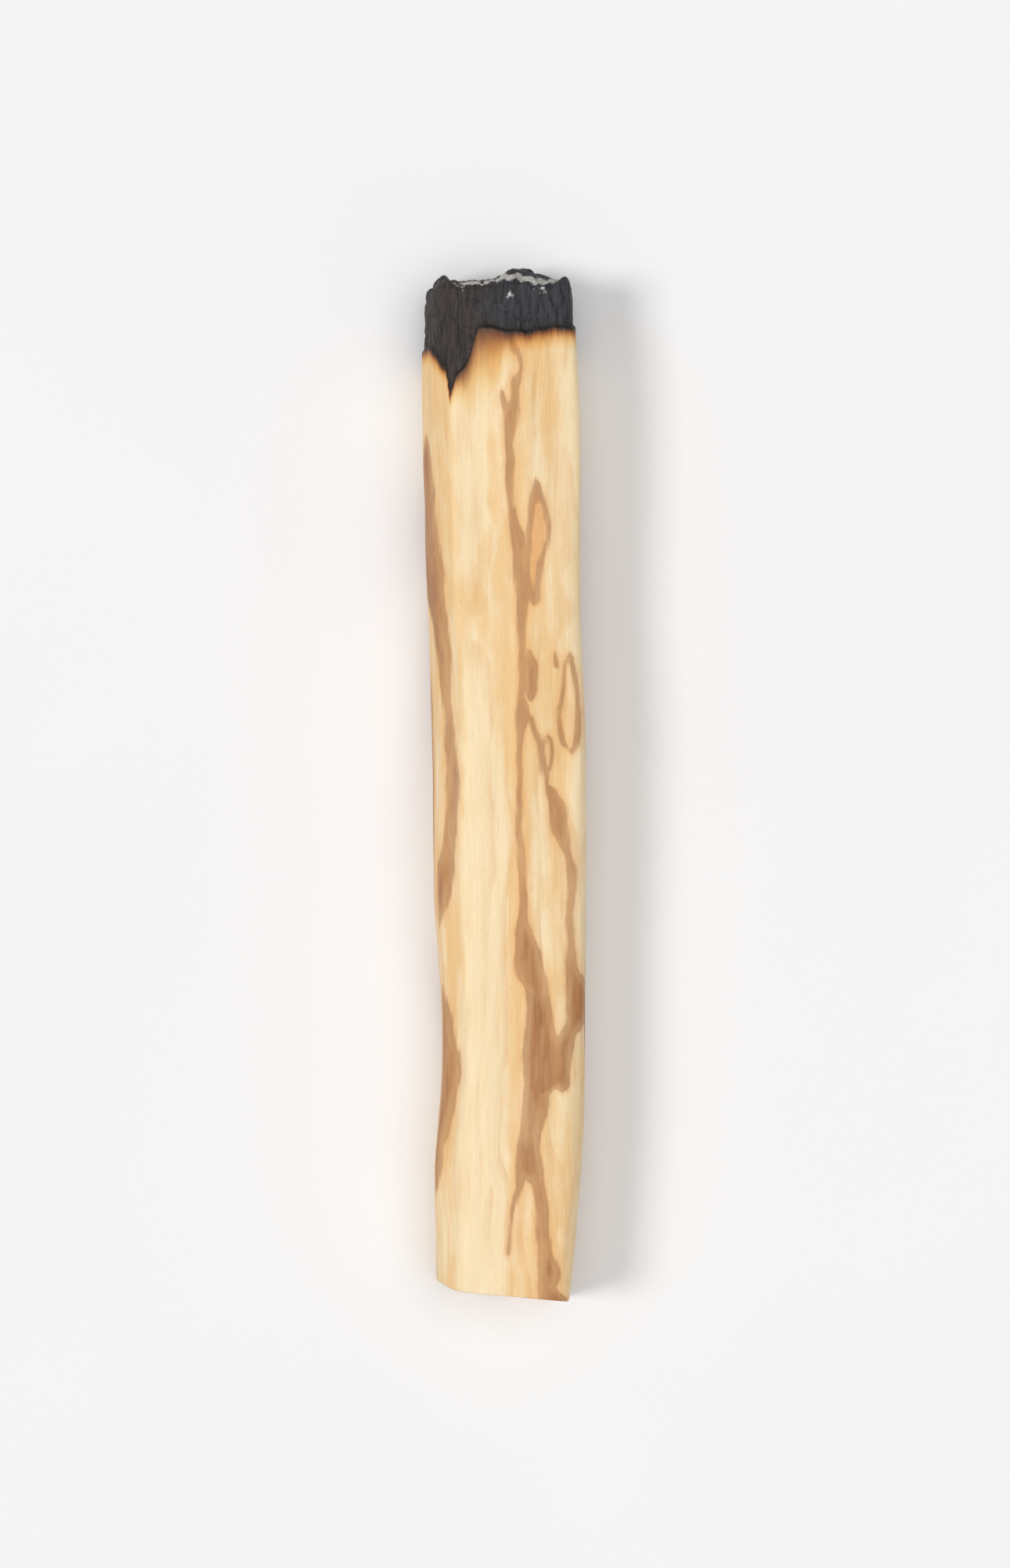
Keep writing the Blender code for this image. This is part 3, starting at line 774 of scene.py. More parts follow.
class Nodes:
    """Puts shader nodes into one tree and joins them."""

    def __init__(self, tree: bpy.types.NodeTree) -> None:
        """Starts on a tree.

        Args:
            tree: a material's, a world's or a group's node tree.
        """
        self.tree = tree

    def add(self, kind: str, inputs: dict | None = None, **settings: object) -> bpy.types.Node:
        """Adds one node.

        Args:
            kind: the node's type, without its ShaderNode prefix.
            inputs: for each input, by name or number, the socket to join to it or its value.
            settings: the node's own settings.

        Returns:
            The node.
        """
        node = self.tree.nodes.new(f"ShaderNode{kind}")
        for name, value in settings.items():
            setattr(node, name, value)
        for key, value in (inputs or {}).items():
            self.feed(node.inputs[key], value)
        return node

    def feed(self, socket: Socket, value: Value) -> None:
        """Joins a socket to an input, or sets the input's own value."""
        if isinstance(value, bpy.types.NodeSocket):
            self.tree.links.new(value, socket)
        else:
            socket.default_value = value

    def math(self, operation: str, *values: Value) -> Socket:
        """A Math node's result, for one to three values."""
        node = self.add("Math", dict(enumerate(values)), operation=operation)
        return node.outputs[0]

    def times(self, first: Value, second: Value) -> Socket:
        """Two values multiplied."""
        return self.math("MULTIPLY", first, second)

    def plus(self, start: Value, value: Value, share: Value) -> Socket:
        """A value, plus a share of another."""
        return self.math("MULTIPLY_ADD", value, share, start)

    def centred(self, noise_value: Value) -> Socket:
        """A noise's value, moved to sway both ways from 0."""
        return self.math("SUBTRACT", noise_value, 0.5)

    def noise(self, place: Value, scale: float = 1.0, detail: Value = 2.0) -> Socket:
        """Noise in space, with scale lumps to a unit."""
        return self.add("TexNoise", {"Vector": place, "Scale": scale, "Detail": detail}).outputs[0]

    def wobble(self, value: Value, scale: float) -> Socket:
        """Noise that changes with one value only."""
        inputs = {"W": value, "Scale": scale, "Detail": 1.0}
        return self.add("TexNoise", inputs, noise_dimensions="1D").outputs[0]

    def vector(self, operation: str, *values: Value) -> Socket:
        """A Vector Math node's vector, for one or two vectors."""
        node = self.add("VectorMath", dict(enumerate(values)), operation=operation)
        return node.outputs[0]

    def rise(self, value: Value, low: float, high: float, start: float = 0.0, end: float = 1.0) -> Socket:
        """A smooth rise of a value between two levels.

        Args:
            value: what rises.
            low: the level where the rise starts.
            high: the level where it ends.
            start: the result up to low.
            end: the result from high on.

        Returns:
            The result's socket.
        """
        inputs = {"Value": value, "From Min": low, "From Max": high, "To Min": start, "To Max": end}
        return self.add("MapRange", inputs, interpolation_type="SMOOTHSTEP").outputs["Result"]

    def mix(self, share: Value, first: Value, second: Value, blend: str = "MIX") -> Socket:
        """Two colours mixed.

        Args:
            share: how much of the second there is.
            first: the first colour.
            second: the second colour.
            blend: how they mix.

        Returns:
            The mixed colour's socket.
        """
        node = self.add("Mix", {0: share, 6: first, 7: second}, data_type="RGBA", blend_type=blend)
        return node.outputs[2]

    def attribute(self, name: str) -> Socket:
        """The value of one of the mesh's own attributes."""
        return self.add("Attribute", attribute_name=name).outputs["Fac"]

    def group(self, tree: bpy.types.NodeTree, **inputs: Value) -> bpy.types.Node:
        """Places a shader group, with its inputs given by name, their spaces written as underscores."""
        node = self.tree.nodes.new("ShaderNodeGroup")
        node.node_tree = tree
        for name, value in inputs.items():
            self.feed(node.inputs[name.replace("_", " ")], value)
        return node


def new_material(name: str) -> tuple[bpy.types.Material, Nodes, bpy.types.Node]:
    """Starts a material.

    Args:
        name: its name.

    Returns:
        The material, its nodes, and its Principled shader.
    """
    material = bpy.data.materials.new(name)
    material.use_nodes = True
    return material, Nodes(material.node_tree), material.node_tree.nodes["Principled BSDF"]


def new_object(name: str, data: bpy.types.ID) -> bpy.types.Object:
    """Puts a mesh, a lamp or a camera into the scene, at the origin.

    Args:
        name: its name.
        data: the mesh, lamp or camera.

    Returns:
        Its object.
    """
    made = bpy.data.objects.new(name, data)
    bpy.context.scene.collection.objects.link(made)
    return made


def new_group(
    name: str, inputs: dict[str, Value], outputs: Sequence[str]
) -> tuple[Nodes, dict[str, Socket], bpy.types.Node]:
    """Starts a shader group.

    Args:
        name: the group's name.
        inputs: each input's name and default; a tuple makes a vector input, a number a value.
        outputs: each output's name; all are values.

    Returns:
        The group's nodes, its input sockets by name, and its output node.
    """
    tree = bpy.data.node_groups.new(name, "ShaderNodeTree")
    for title, default in inputs.items():
        kind = "NodeSocketVector" if isinstance(default, tuple) else "NodeSocketFloat"
        tree.interface.new_socket(title, in_out="INPUT", socket_type=kind).default_value = default
    for title in outputs:
        tree.interface.new_socket(title, in_out="OUTPUT", socket_type="NodeSocketFloat")
    start, end = tree.nodes.new("NodeGroupInput"), tree.nodes.new("NodeGroupOutput")
    return Nodes(tree), {title: start.outputs[title] for title in inputs}, end


@dataclass(frozen=True)
class LongFibres:
    """The shader group for all that runs with the grain: noise drawn out along the stick."""

    name: str = "Long fibres"

    def build(self) -> bpy.types.NodeTree:
        """Makes the group: the place in mm, divided by the fibre's width and length, feeds a noise."""
        defaults = {"Place": (0.0, 0.0, 0.0), "Width": 1.0, "Length": 10.0, "Detail": 2.0, "Offset": 0.0}
        nodes, inputs, end = new_group(self.name, defaults, ["Value"])
        across = nodes.math("DIVIDE", 1.0, inputs["Width"])
        along = nodes.math("DIVIDE", 1.0, inputs["Length"])
        stretch = nodes.add("CombineXYZ", {"X": across, "Y": along, "Z": across}).outputs[0]
        drawn_out = nodes.vector("MULTIPLY", inputs["Place"], stretch)
        moved = nodes.vector("ADD", drawn_out, inputs["Offset"])
        nodes.feed(end.inputs["Value"], nodes.noise(moved, detail=inputs["Detail"]))
        return nodes.tree


@dataclass(frozen=True)
class GrowthRings:
    """The shader group for growth rings and rays round the log's heart, which lay below and to the left.

    Attributes:
        heart: the log's heart from the stick's middle line, across and up, in mm.
        pitch: the usual width of one year's ring, in mm.
        uneven, years: how far the rings wander round the heart and outwards, as (scale, mm).
        late_starts, late_ends: the share of a year where the darker late wood comes and goes.
        band_scale: how fast groups of years change.
        ray_scale: how many rays there are to a radian.
    """

    name: str = "Growth rings"
    heart: Span = (-24.0, -31.0)
    pitch: float = 1.35
    uneven: Span = (0.11, 2.4)
    years: Span = (0.3, 3.0)
    late_starts: Span = (0.35, 0.86)
    late_ends: Span = (1.0, 0.9)
    band_scale: float = 0.55
    ray_scale: float = 230.0

    def build(self) -> bpy.types.NodeTree:
        """Makes the group: the distance from the heart, made uneven by noise, counts the rings."""
        nodes, inputs, end = new_group(self.name, {"Place": (0.0, 0.0, 0.0)}, ["Line", "Band", "Ray"])
        from_heart = nodes.vector("SUBTRACT", inputs["Place"], (self.heart[0], 0.0, self.heart[1]))
        flat = nodes.vector("MULTIPLY", from_heart, (1.0, 0.0, 1.0))
        distance = nodes.add("VectorMath", {0: flat}, operation="LENGTH").outputs["Value"]
        shifted = nodes.plus(distance, nodes.noise(inputs["Place"], self.uneven[0], 1.0), self.uneven[1])
        shifted = nodes.plus(shifted, nodes.wobble(distance, self.years[0]), self.years[1])
        count = nodes.math("DIVIDE", shifted, self.pitch)
        share = nodes.math("FRACT", count)
        late = nodes.times(nodes.rise(share, *self.late_starts), nodes.rise(share, *self.late_ends))
        nodes.feed(end.inputs["Line"], late)
        nodes.feed(end.inputs["Band"], nodes.wobble(count, self.band_scale))
        parts = nodes.add("SeparateXYZ", {0: from_heart}).outputs
        turn = nodes.math("ARCTAN2", parts["Z"], parts["X"])
        nodes.feed(end.inputs["Ray"], nodes.wobble(turn, self.ray_scale))
        return nodes.tree


class Strand(Enum):
    """The noises that run with the grain: width and length in mm, offset, and detail."""

    FIBRE = (0.2, 5.0, 3.1, 2.0)
    BUNDLE = (0.75, 19.0, 7.7, 2.0)
    BAND = (3.4, 30.0, 12.3, 2.0)
    MOTTLE = (1.1, 3.2, 43.0, 2.0)
    PORE = (0.1, 0.8, 17.9, 1.0)
    HEART_EDGE = (0.55, 3.0, 23.0, 3.0)
    BLOTCH = (1.3, 5.0, 41.0, 2.0)
    CHAR_EDGE = (0.22, 1.6, 29.0, 2.0)
    CHAR_STRAND = (0.35, 3.0, 31.0, 2.0)
    CHAR_THREAD = (0.16, 1.2, 37.0, 2.0)


Strands = dict[Strand, Socket]
Rise = Span | tuple[float, float, float, float]


@dataclass(frozen=True)
class BurntWoodFinish:
    """The finish of the whole stick: pale split wood, brown figure, scorched fringe, char and ash.

    A Rise says where an effect starts and where it is full, in the noise's own value or in mm. Two
    more numbers are its strength at each, where that isn't 0 and 1.

    Attributes:
        cream to ash: the colours; the ash's colour also paints a highlight along the char's top rim.
        fibre_shade: how much red, green and blue the darkest fibres keep.
        scorch_stops: (share of the way to the char, colour that the wood is multiplied by).
        sway_scale, sway: how fast and how far the grain wanders, by axis, in mm.
        tone_sways: how much each noise makes the wood paler and darker.
        heart_ragged, char_ragged: how far the edges of the figure and the char run in and out, in mm.
        in_heart, in_char: where the figure and the char begin, in mm inside their edges.
        warmth to pore_share: the parts of the pale wood, each as a Rise or a share.
        halo to heart_thin: the parts of the heartwood.
        char_scale to deep_fibres: the parts of the char.
        ash_scale to ash_ends: the parts of the ash, and of the painted highlight along the top rim.
        roughness: that of the wood, what fibres add, what ash and the painted rim highlight add, and
        what heartwood takes off.
        specular: how strongly the whole stick shines.
        saw_turn, saw_stretch: the way and the shape of the saw marks.
        char_grain: how many grains of char there are to a mm.
        heights: how far fibres, bundles, pores, saw marks, char grain, threads and ash stand, in mm; the
        painted rim highlight stands as ash does.
    """

    cream: Colour = srgb(248, 225, 184)
    straw: Colour = srgb(241, 203, 147)
    amber: Colour = srgb(226, 172, 108)
    orange: Colour = srgb(232, 170, 104)
    heart: Colour = srgb(177, 121, 74)
    heart_dark: Colour = srgb(147, 93, 52)
    char_cool: Colour = srgb(56, 58, 62)
    char_warm: Colour = srgb(60, 51, 48)
    char_edge: Colour = srgb(44, 34, 27)
    char_deep: Colour = srgb(26, 24, 24)
    ash: Colour = srgb(198, 194, 189)
    fibre_shade: Point = (0.95, 0.93, 0.89)
    scorch_stops: tuple[tuple[float, Colour], ...] = (
        (0.0, WHITE), (0.25, (0.97, 0.9, 0.76, 1.0)), (0.5, (0.88, 0.7, 0.46, 1.0)),
        (0.72, (0.6, 0.37, 0.19, 1.0)), (0.88, (0.28, 0.14, 0.08, 1.0)), (1.0, (0.1, 0.06, 0.045, 1.0)),
    )
    sway_scale: Point = (0.1, 0.045, 0.1)
    sway: Point = (1.6, 0.0, 1.6)
    tone_sways: tuple[tuple[Strand, float], ...] = (
        (Strand.BAND, 2.4), (Strand.BUNDLE, 1.0), (Strand.MOTTLE, 1.2),
    )
    heart_ragged: float = 0.85
    char_ragged: float = 0.5
    in_heart: Rise = (-0.2, 0.14)
    in_char: Rise = (-0.06, 0.14)
    warmth: float = 0.75
    ring_line: Rise = (0.35, 0.7, 0.05, 0.4)
    ring_band: Rise = (0.5, 0.72)
    band_share: float = 0.22
    fibre_dark: Rise = (0.25, 0.7)
    ray: Rise = (0.55, 0.7)
    ray_share: float = 0.35
    sawn_amber: float = 0.3
    pore: Rise = (0.64, 0.74)
    pore_share: float = 0.12
    halo: Rise = (-0.8, 0.0)
    halo_share: float = 0.36
    outline: Rise = (0.5, 0.1)
    outline_share: float = 0.5
    streak_fibres: Rise = (0.4, 0.7)
    streak_bundles: Rise = (0.3, 0.7, 0.2, 0.6)
    blotch_dark: Rise = (0.35, 0.65, 0.4, 1.4)
    heart_strength: Rise = (0.3, 0.6, 0.8, 0.98)
    heart_thin: Rise = (0.2, 1.1, 0.66, 1.0)
    char_scale: float = 0.5
    char_wander: float = 5.0
    char_sides: Rise = (-1.5, 2.5)
    edge_fades: Rise = (1.1, 0.2, 0.0, 0.8)
    deep_strands: Rise = (0.6, 0.4)
    deep_fibres: Rise = (0.7, 0.3, 0.2, 0.9)
    ash_scale: float = 2.2
    ash_speckle: Rise = (0.3, 0.8, -0.55, 0.45)
    ash_level: Rise = (0.15, 0.75)
    ash_ends: Rise = (0.0, 0.12)
    roughness: tuple[float, ...] = (0.5, 0.18, 0.3, -0.06)
    specular: float = 0.32
    saw_turn: Point = (0.0, math.radians(12), math.radians(90))
    saw_stretch: Point = (1.0, 0.08, 2.4)
    char_grain: float = 4.0
    heights: tuple[float, ...] = (0.03, 0.03, -0.008, 0.09, 0.1, 0.07, 0.05)

    def build(self, fibres: bpy.types.NodeTree, rings: bpy.types.NodeTree) -> bpy.types.Material:
        """Makes the material.

        Args:
            fibres: the shader group of long fibres.
            rings: the shader group of growth rings.

        Returns:
            The material.
        """
        material, nodes, shader = new_material("burnt palo santo wood")
        place = nodes.vector("SCALE", nodes.add("TexCoord").outputs["Object"])
        place.node.inputs["Scale"].default_value = 1 / MM
        slow = nodes.vector("MULTIPLY", place, self.sway_scale)
        sway = nodes.vector("SUBTRACT", nodes.noise(slow).node.outputs["Color"], (0.5, 0.5, 0.5))
        grain = nodes.vector("ADD", place, nodes.vector("MULTIPLY", sway, self.sway))
        strands = {}
        for strand in Strand:
            sizes = dict(zip(("Width", "Length", "Offset", "Detail"), strand.value))
            strands[strand] = nodes.group(fibres, Place=grain, **sizes).outputs["Value"]
        pores = nodes.rise(strands[Strand.PORE], *self.pore)
        wood = self.wood(nodes, strands, pores, nodes.group(rings, Place=grain).outputs)

        figure = nodes.plus(
            nodes.attribute("figure"), nodes.centred(strands[Strand.HEART_EDGE]), self.heart_ragged
        )
        in_heart = nodes.rise(figure, *self.in_heart)
        wood = self.heartwood(nodes, strands, wood, figure, in_heart)

        depth = nodes.plus(
            nodes.attribute("char"), nodes.centred(strands[Strand.CHAR_EDGE]), self.char_ragged
        )
        in_char = nodes.rise(depth, *self.in_char)
        wood = self.scorched(nodes, wood, depth)
        # The ash attribute also holds a painted highlight: a pale grey line along the char's top rim, drawn
        # here in the ash's colour
        ash = nodes.attribute("ash")
        speckle = nodes.rise(nodes.noise(place, self.ash_scale, 3.0), *self.ash_speckle)
        dust_and_rim_highlight = nodes.rise(nodes.math("ADD", ash, speckle), *self.ash_level)
        in_ash_and_rim_highlight = nodes.times(dust_and_rim_highlight, nodes.rise(ash, *self.ash_ends))
        char = nodes.mix(in_ash_and_rim_highlight, self.char(nodes, strands, place, depth), self.ash)
        nodes.feed(shader.inputs["Base Color"], nodes.mix(in_char, wood, char))

        smoothest, with_fibre, with_ash_and_rim_highlight, with_heart = self.roughness
        rough = nodes.plus(smoothest, strands[Strand.FIBRE], with_fibre)
        rough = nodes.plus(rough, in_heart, with_heart)
        nodes.feed(shader.inputs["Roughness"], nodes.plus(rough, in_ash_and_rim_highlight, with_ash_and_rim_highlight))
        nodes.feed(shader.inputs["Normal"], self.bumps(nodes, strands, place, in_char, in_ash_and_rim_highlight, pores))
        shader.inputs["Specular IOR Level"].default_value = self.specular
        return material

    def wood(self, nodes: Nodes, strands: Strands, pores: Socket, ring: Sequence[Socket]) -> Socket:
        """The pale wood: cream to straw in long bands, amber ring lines, fine fibres and pores.

        Args:
            nodes: the material's nodes.
            strands: the noises that run with the grain.
            pores: 1 in a pore.
            ring: the growth rings' outputs.

        Returns:
            The colour.
        """
        tone = nodes.attribute("tone")
        for strand, sway in self.tone_sways:
            tone = nodes.plus(tone, nodes.centred(strands[strand]), sway)
        colour = nodes.mix(nodes.rise(tone, 0.0, 1.0), self.straw, self.cream)
        colour = nodes.mix(nodes.times(nodes.attribute("warm"), self.warmth), colour, self.orange)
        line_share = nodes.times(ring["Line"], nodes.rise(strands[Strand.BUNDLE], *self.ring_line))
        colour = nodes.mix(line_share, colour, self.amber)
        band = nodes.times(nodes.rise(ring["Band"], *self.ring_band), self.band_share)
        colour = nodes.mix(band, colour, self.amber)
        shades = [nodes.rise(strands[Strand.FIBRE], *self.fibre_dark, low) for low in self.fibre_shade]
        shade = nodes.add("CombineColor", dict(enumerate(shades))).outputs[0]
        colour = nodes.mix(1.0, colour, shade, "MULTIPLY")
        sawn = nodes.attribute("sawn")
        ray = nodes.times(nodes.rise(ring["Ray"], *self.ray), nodes.times(sawn, self.ray_share))
        colour = nodes.mix(ray, colour, self.cream)
        colour = nodes.mix(nodes.times(sawn, self.sawn_amber), colour, self.amber)
        return nodes.mix(nodes.times(pores, self.pore_share), colour, self.heart)

    def heartwood(
        self, nodes: Nodes, strands: Strands, wood: Socket, figure: Socket, in_heart: Socket
    ) -> Socket:
        """The brown figure laid into the wood, darker along its outline and streaked with the grain.

        Args:
            nodes: the material's nodes.
            strands: the noises that run with the grain.
            wood: the pale wood's colour.
            figure: how far inside the figure the place is, in mm.
            in_heart: 1 inside it.

        Returns:
            The colour.
        """
        fibre, bundle, blotch = (strands[part] for part in (Strand.FIBRE, Strand.BUNDLE, Strand.BLOTCH))
        wood = nodes.mix(nodes.times(nodes.rise(figure, *self.halo), self.halo_share), wood, self.orange)
        outline = nodes.times(nodes.rise(figure, *self.outline), self.outline_share)
        streaks = nodes.times(
            nodes.rise(fibre, *self.streak_fibres), nodes.rise(bundle, *self.streak_bundles)
        )
        dark = nodes.math("MAXIMUM", outline, streaks)
        dark = nodes.times(dark, nodes.rise(blotch, *self.blotch_dark))
        brown = nodes.mix(dark, self.heart, self.heart_dark)
        strength, thin = nodes.rise(blotch, *self.heart_strength), nodes.rise(figure, *self.heart_thin)
        return nodes.mix(nodes.times(in_heart, nodes.times(strength, thin)), wood, brown)

    def scorched(self, nodes: Nodes, wood: Socket, depth: Socket) -> Socket:
        """The fringe that the fire has browned: the wood darkened more and more towards the char.

        Args:
            nodes: the material's nodes.
            wood: the unburnt colour.
            depth: how far inside the char the place is, in mm.

        Returns:
            The colour.
        """
        nearness = nodes.math("ADD", 1.0, nodes.math("DIVIDE", depth, nodes.attribute("scorch")))
        ramp = nodes.add("ValToRGB", {"Fac": nearness})
        stops = ramp.color_ramp.elements
        first, *between, last = self.scorch_stops
        stops[0].position, stops[0].color = first
        stops[1].position, stops[1].color = last
        for position, colour in between:
            stops.new(position).color = colour
        return nodes.mix(1.0, wood, ramp.outputs["Color"], "MULTIPLY")

    def char(self, nodes: Nodes, strands: Strands, place: Socket, depth: Socket) -> Socket:
        """The char: brownish on the left, cooler on the right, and darkest along its edge.

        Args:
            nodes: the material's nodes.
            strands: the noises that run with the grain.
            place: the place in mm.
            depth: how far inside the char the place is, in mm.

        Returns:
            The colour.
        """
        across = nodes.add("SeparateXYZ", {0: place}).outputs["X"]
        wander = nodes.plus(across, nodes.noise(place, self.char_scale, 3.0), self.char_wander)
        colour = nodes.mix(nodes.rise(wander, *self.char_sides), self.char_warm, self.char_cool)
        colour = nodes.mix(nodes.rise(depth, *self.edge_fades), colour, self.char_edge)
        deep = nodes.times(
            nodes.rise(strands[Strand.CHAR_STRAND], *self.deep_strands),
            nodes.rise(strands[Strand.FIBRE], *self.deep_fibres),
        )
        return nodes.mix(deep, colour, self.char_deep)

    def bumps(
        self, nodes: Nodes, strands: Strands, place: Socket, in_char: Socket, in_ash_and_rim_highlight: Socket, pores: Socket
    ) -> Socket:
        """The surface too fine for the mesh: raised fibres and open pores, saw marks, and grainy char.

        Args:
            nodes: the material's nodes.
            strands: the noises that run with the grain.
            place: the place in mm.
            in_char: 1 in the char.
            in_ash_and_rim_highlight: 1 under ash and under the painted highlight along the top rim.
            pores: 1 in a pore.

        Returns:
            The normal.
        """
        fibre, bundle, pore, saw, grain, thread, ash = self.heights
        wood = nodes.times(strands[Strand.FIBRE], fibre)
        wood = nodes.plus(wood, strands[Strand.BUNDLE], bundle)
        wood = nodes.plus(wood, pores, pore)
        turned = nodes.add("Mapping", {"Vector": place, "Rotation": self.saw_turn}).outputs[0]
        scratches = nodes.noise(nodes.vector("MULTIPLY", turned, self.saw_stretch))
        wood = nodes.plus(wood, nodes.times(nodes.attribute("sawn"), nodes.centred(scratches)), saw)
        char = nodes.times(nodes.noise(place, self.char_grain, 3.0), grain)
        char = nodes.plus(char, strands[Strand.CHAR_THREAD], thread)
        char = nodes.plus(char, in_ash_and_rim_highlight, ash)
        wood = nodes.times(wood, nodes.math("SUBTRACT", 1.0, in_char))
        height = nodes.plus(wood, char, in_char)
        return nodes.add("Bump", {"Height": height, "Distance": MM, "Strength": 1.0}).outputs[0]


@dataclass
class Stick:
    """The whole stick: one piece of wood from its sawn end to its burnt one.

    Attributes:
        node: the node that it stands for.
        slot: the record's material slot; not used.
        columns: how many points go round it.
        wood_row: how far apart the rows are along the wood, in mm.
        char_row: how far apart they are along the char, in mm.
        sawn_rows: how many rows the sawn face has.
        rim_rows: how many rows round its rim.
        view_shift: how far right of its own place a point at the middle height is seen, in mm.
        view_lean: how far a place seems to move right for each mm that it is higher.
        view_from: the place along the stick that the camera stands over, in mm.
        view_distance: how far the camera is from the stick's middle height, in mm.
        seen_angles: the last angles round the stick that the camera sees, right and left.
        ash_spots: where ash clings to the char.
        face_span: the shares of the full section that the sawn face's rows run between.
        sawn_rim_rows: how many of the rim's rows still count as sawn.
        end_margin: how much more than the middle line's height half the end's width is, in mm.
    """

    node: str = "palo_santo_stick"
    slot: str = "palo_santo_wood"
    blank: SplitBlank = field(default_factory=SplitBlank)
    burnt: BurntEnd = field(default_factory=BurntEnd)
    figure: Figure = field(default_factory=Figure)
    columns: int = 248
    wood_row: float = 0.45
    char_row: float = 0.12
    sawn_rows: int = 24
    rim_rows: int = 5
    face_span: Span = (0.03, 0.97)
    sawn_rim_rows: int = 2
    end_margin: float = 1.0
    view_shift: float = -0.04
    view_lean: float = 0.0713
    view_from: float = -7.1
    view_distance: float = 545.0
    seen_angles: Span = (29.0, 165.0)
    ash_spots: tuple[AshSpot, ...] = (
        AshSpot((-5.1, 47.8, 11.8), (0.9, 0.8, 1.6), 0.95),
        AshSpot((0.2, 46.75, 12.2), (0.6, 0.5, 0.8), 1.4),
        AshSpot((3.4, 47.4, 12.0), (1.5, 0.6, 0.8), 0.7),
        AshSpot((-3.4, 43.6, 12.0), (0.45, 0.4, 0.8), 0.8),
        AshSpot((-4.5, 48.6, 6.0), (2.6, 1.5, 3.4), 0.7),
        AshSpot((4.8, 48.6, 3.4), (2.2, 1.4, 2.0), 0.9),
        AshSpot((-1.0, 49.2, 1.8), (3.0, 1.4, 1.6), 0.7),
    )

    def rows(self) -> Rows:
        """The rows of the grid, each end's running in to its middle."""
        half = self.blank.length / 2
        face = np.linspace(*self.face_span, self.sawn_rows)
        turn = np.linspace(0, np.pi / 2, self.rim_rows)
        rim_share = self.blank.sawn_rim / self.blank.axis_height
        rim_shrink, set_back = 1 - rim_share * (1 - np.sin(turn)), self.blank.sawn_rim * (1 - np.cos(turn))
        wood = np.arange(-half + 2 * self.blank.sawn_rim, self.burnt.char_from, self.wood_row)
        char = np.arange(self.burnt.char_from, self.burnt.starts, self.char_row)
        end_depth, end_width = half - self.burnt.starts, self.blank.axis_height + self.end_margin
        steps = int((end_depth + end_width) / self.char_row)
        inward, onward = self.burnt.profile(end_width, end_depth, steps)
        ends = len(face) + len(turn)
        sides = len(wood) + len(char)
        sawn = len(face) + self.sawn_rim_rows
        return Rows(
            along=np.concatenate([np.full(ends, -half), wood, char, np.full(steps, self.burnt.starts)]),
            shrink=np.concatenate([face, rim_shrink, np.ones(sides), inward]),
            to_tip=np.concatenate([np.zeros(ends + sides), onward]),
            sawn=np.concatenate([np.ones(sawn), np.zeros(ends - sawn + sides + steps)]),
            from_cut=np.concatenate([np.zeros(len(face)), set_back, wood * 0, char * 0, onward * 0]),
        )

    def surface(self) -> tuple[np.ndarray, dict[str, np.ndarray]]:
        """The surface as a grid of points, and what is painted on it.

        Each point is the middle line's, plus the section's radius in its direction, shrunk at the
        ends. Near an end it then moves along the stick, to the saw's cut or to the burnt end's
        outline at that place across. Last it moves out by the relief, and never below the ground.

        Returns:
            Points of shape (rows, columns, 3) in mm, and each painted value by name.
        """
        rows, angle = self.rows(), self.blank.even_angles(self.columns)[None, :]
        along, shrink, to_tip = (part[:, None] for part in (rows.along, rows.shrink, rows.to_tip))
        angle = np.broadcast_to(angle, (len(along), self.columns))
        along = np.broadcast_to(along, angle.shape)
        radius = self.blank.radius(angle, along)
        spread = np.stack([np.cos(angle), 0 * angle, np.sin(angle)], axis=-1)
        height = np.full_like(angle, self.blank.axis_height)
        axis = np.stack([self.blank.axis_place(along), along, height], axis=-1)
        point = axis + spread * (radius * shrink)[..., None]
        full = axis + spread * radius[..., None]
        self.shape_ends(point, rows)

        squareness = self.burnt.squareness
        side, onward = shrink ** (squareness - 1) * (1 - rows.sawn[:, None]), to_tip ** (squareness - 1)
        length = np.maximum(np.hypot(side, onward), TINY)
        outward = np.stack([side * spread[..., 0], onward + 0 * angle, side * spread[..., 2]], axis=-1)
        outward /= length[..., None]
        depth = self.burnt.frayed_depth(angle, point)
        facing_tip = onward / length + 0 * angle
        relief = self.blank.ripples(point) + self.burnt.relief(point, depth, facing_tip)
        painted = self.paint(point, full, angle, depth, shrink + 0 * angle, radius)
        painted["sawn"] = np.broadcast_to(rows.sawn[:, None], angle.shape)
        point = point + outward * relief[..., None]
        point[..., 2] = np.maximum(point[..., 2], 0)
        return point, painted

    def shape_ends(self, point: np.ndarray, rows: Rows) -> None:
        """Moves the points near each end along the stick, onto the cut and onto the burnt outline.

        Args:
            point: the grid's points, changed in place.
            rows: the grid's rows.
        """
        half = self.blank.length / 2
        x, z = point[..., 0].copy(), point[..., 2]
        near_cut = 1 - step(-half, -half + self.blank.cut_fades, rows.along)[:, None]
        lean = self.blank.cut_lean * z / self.blank.thickness
        point[..., 1] += near_cut * (smooth_curve(self.blank.sawn_cut, x) + half + lean)
        point[..., 1] += rows.from_cut[:, None]
        low, rim = smooth_curve(self.burnt.reach, x), smooth_curve(self.burnt.rim, x)
        tip = low - (low - rim) * step(*self.burnt.rim_slope, z)
        point[..., 1] += rows.to_tip[:, None] * (tip - self.burnt.starts)

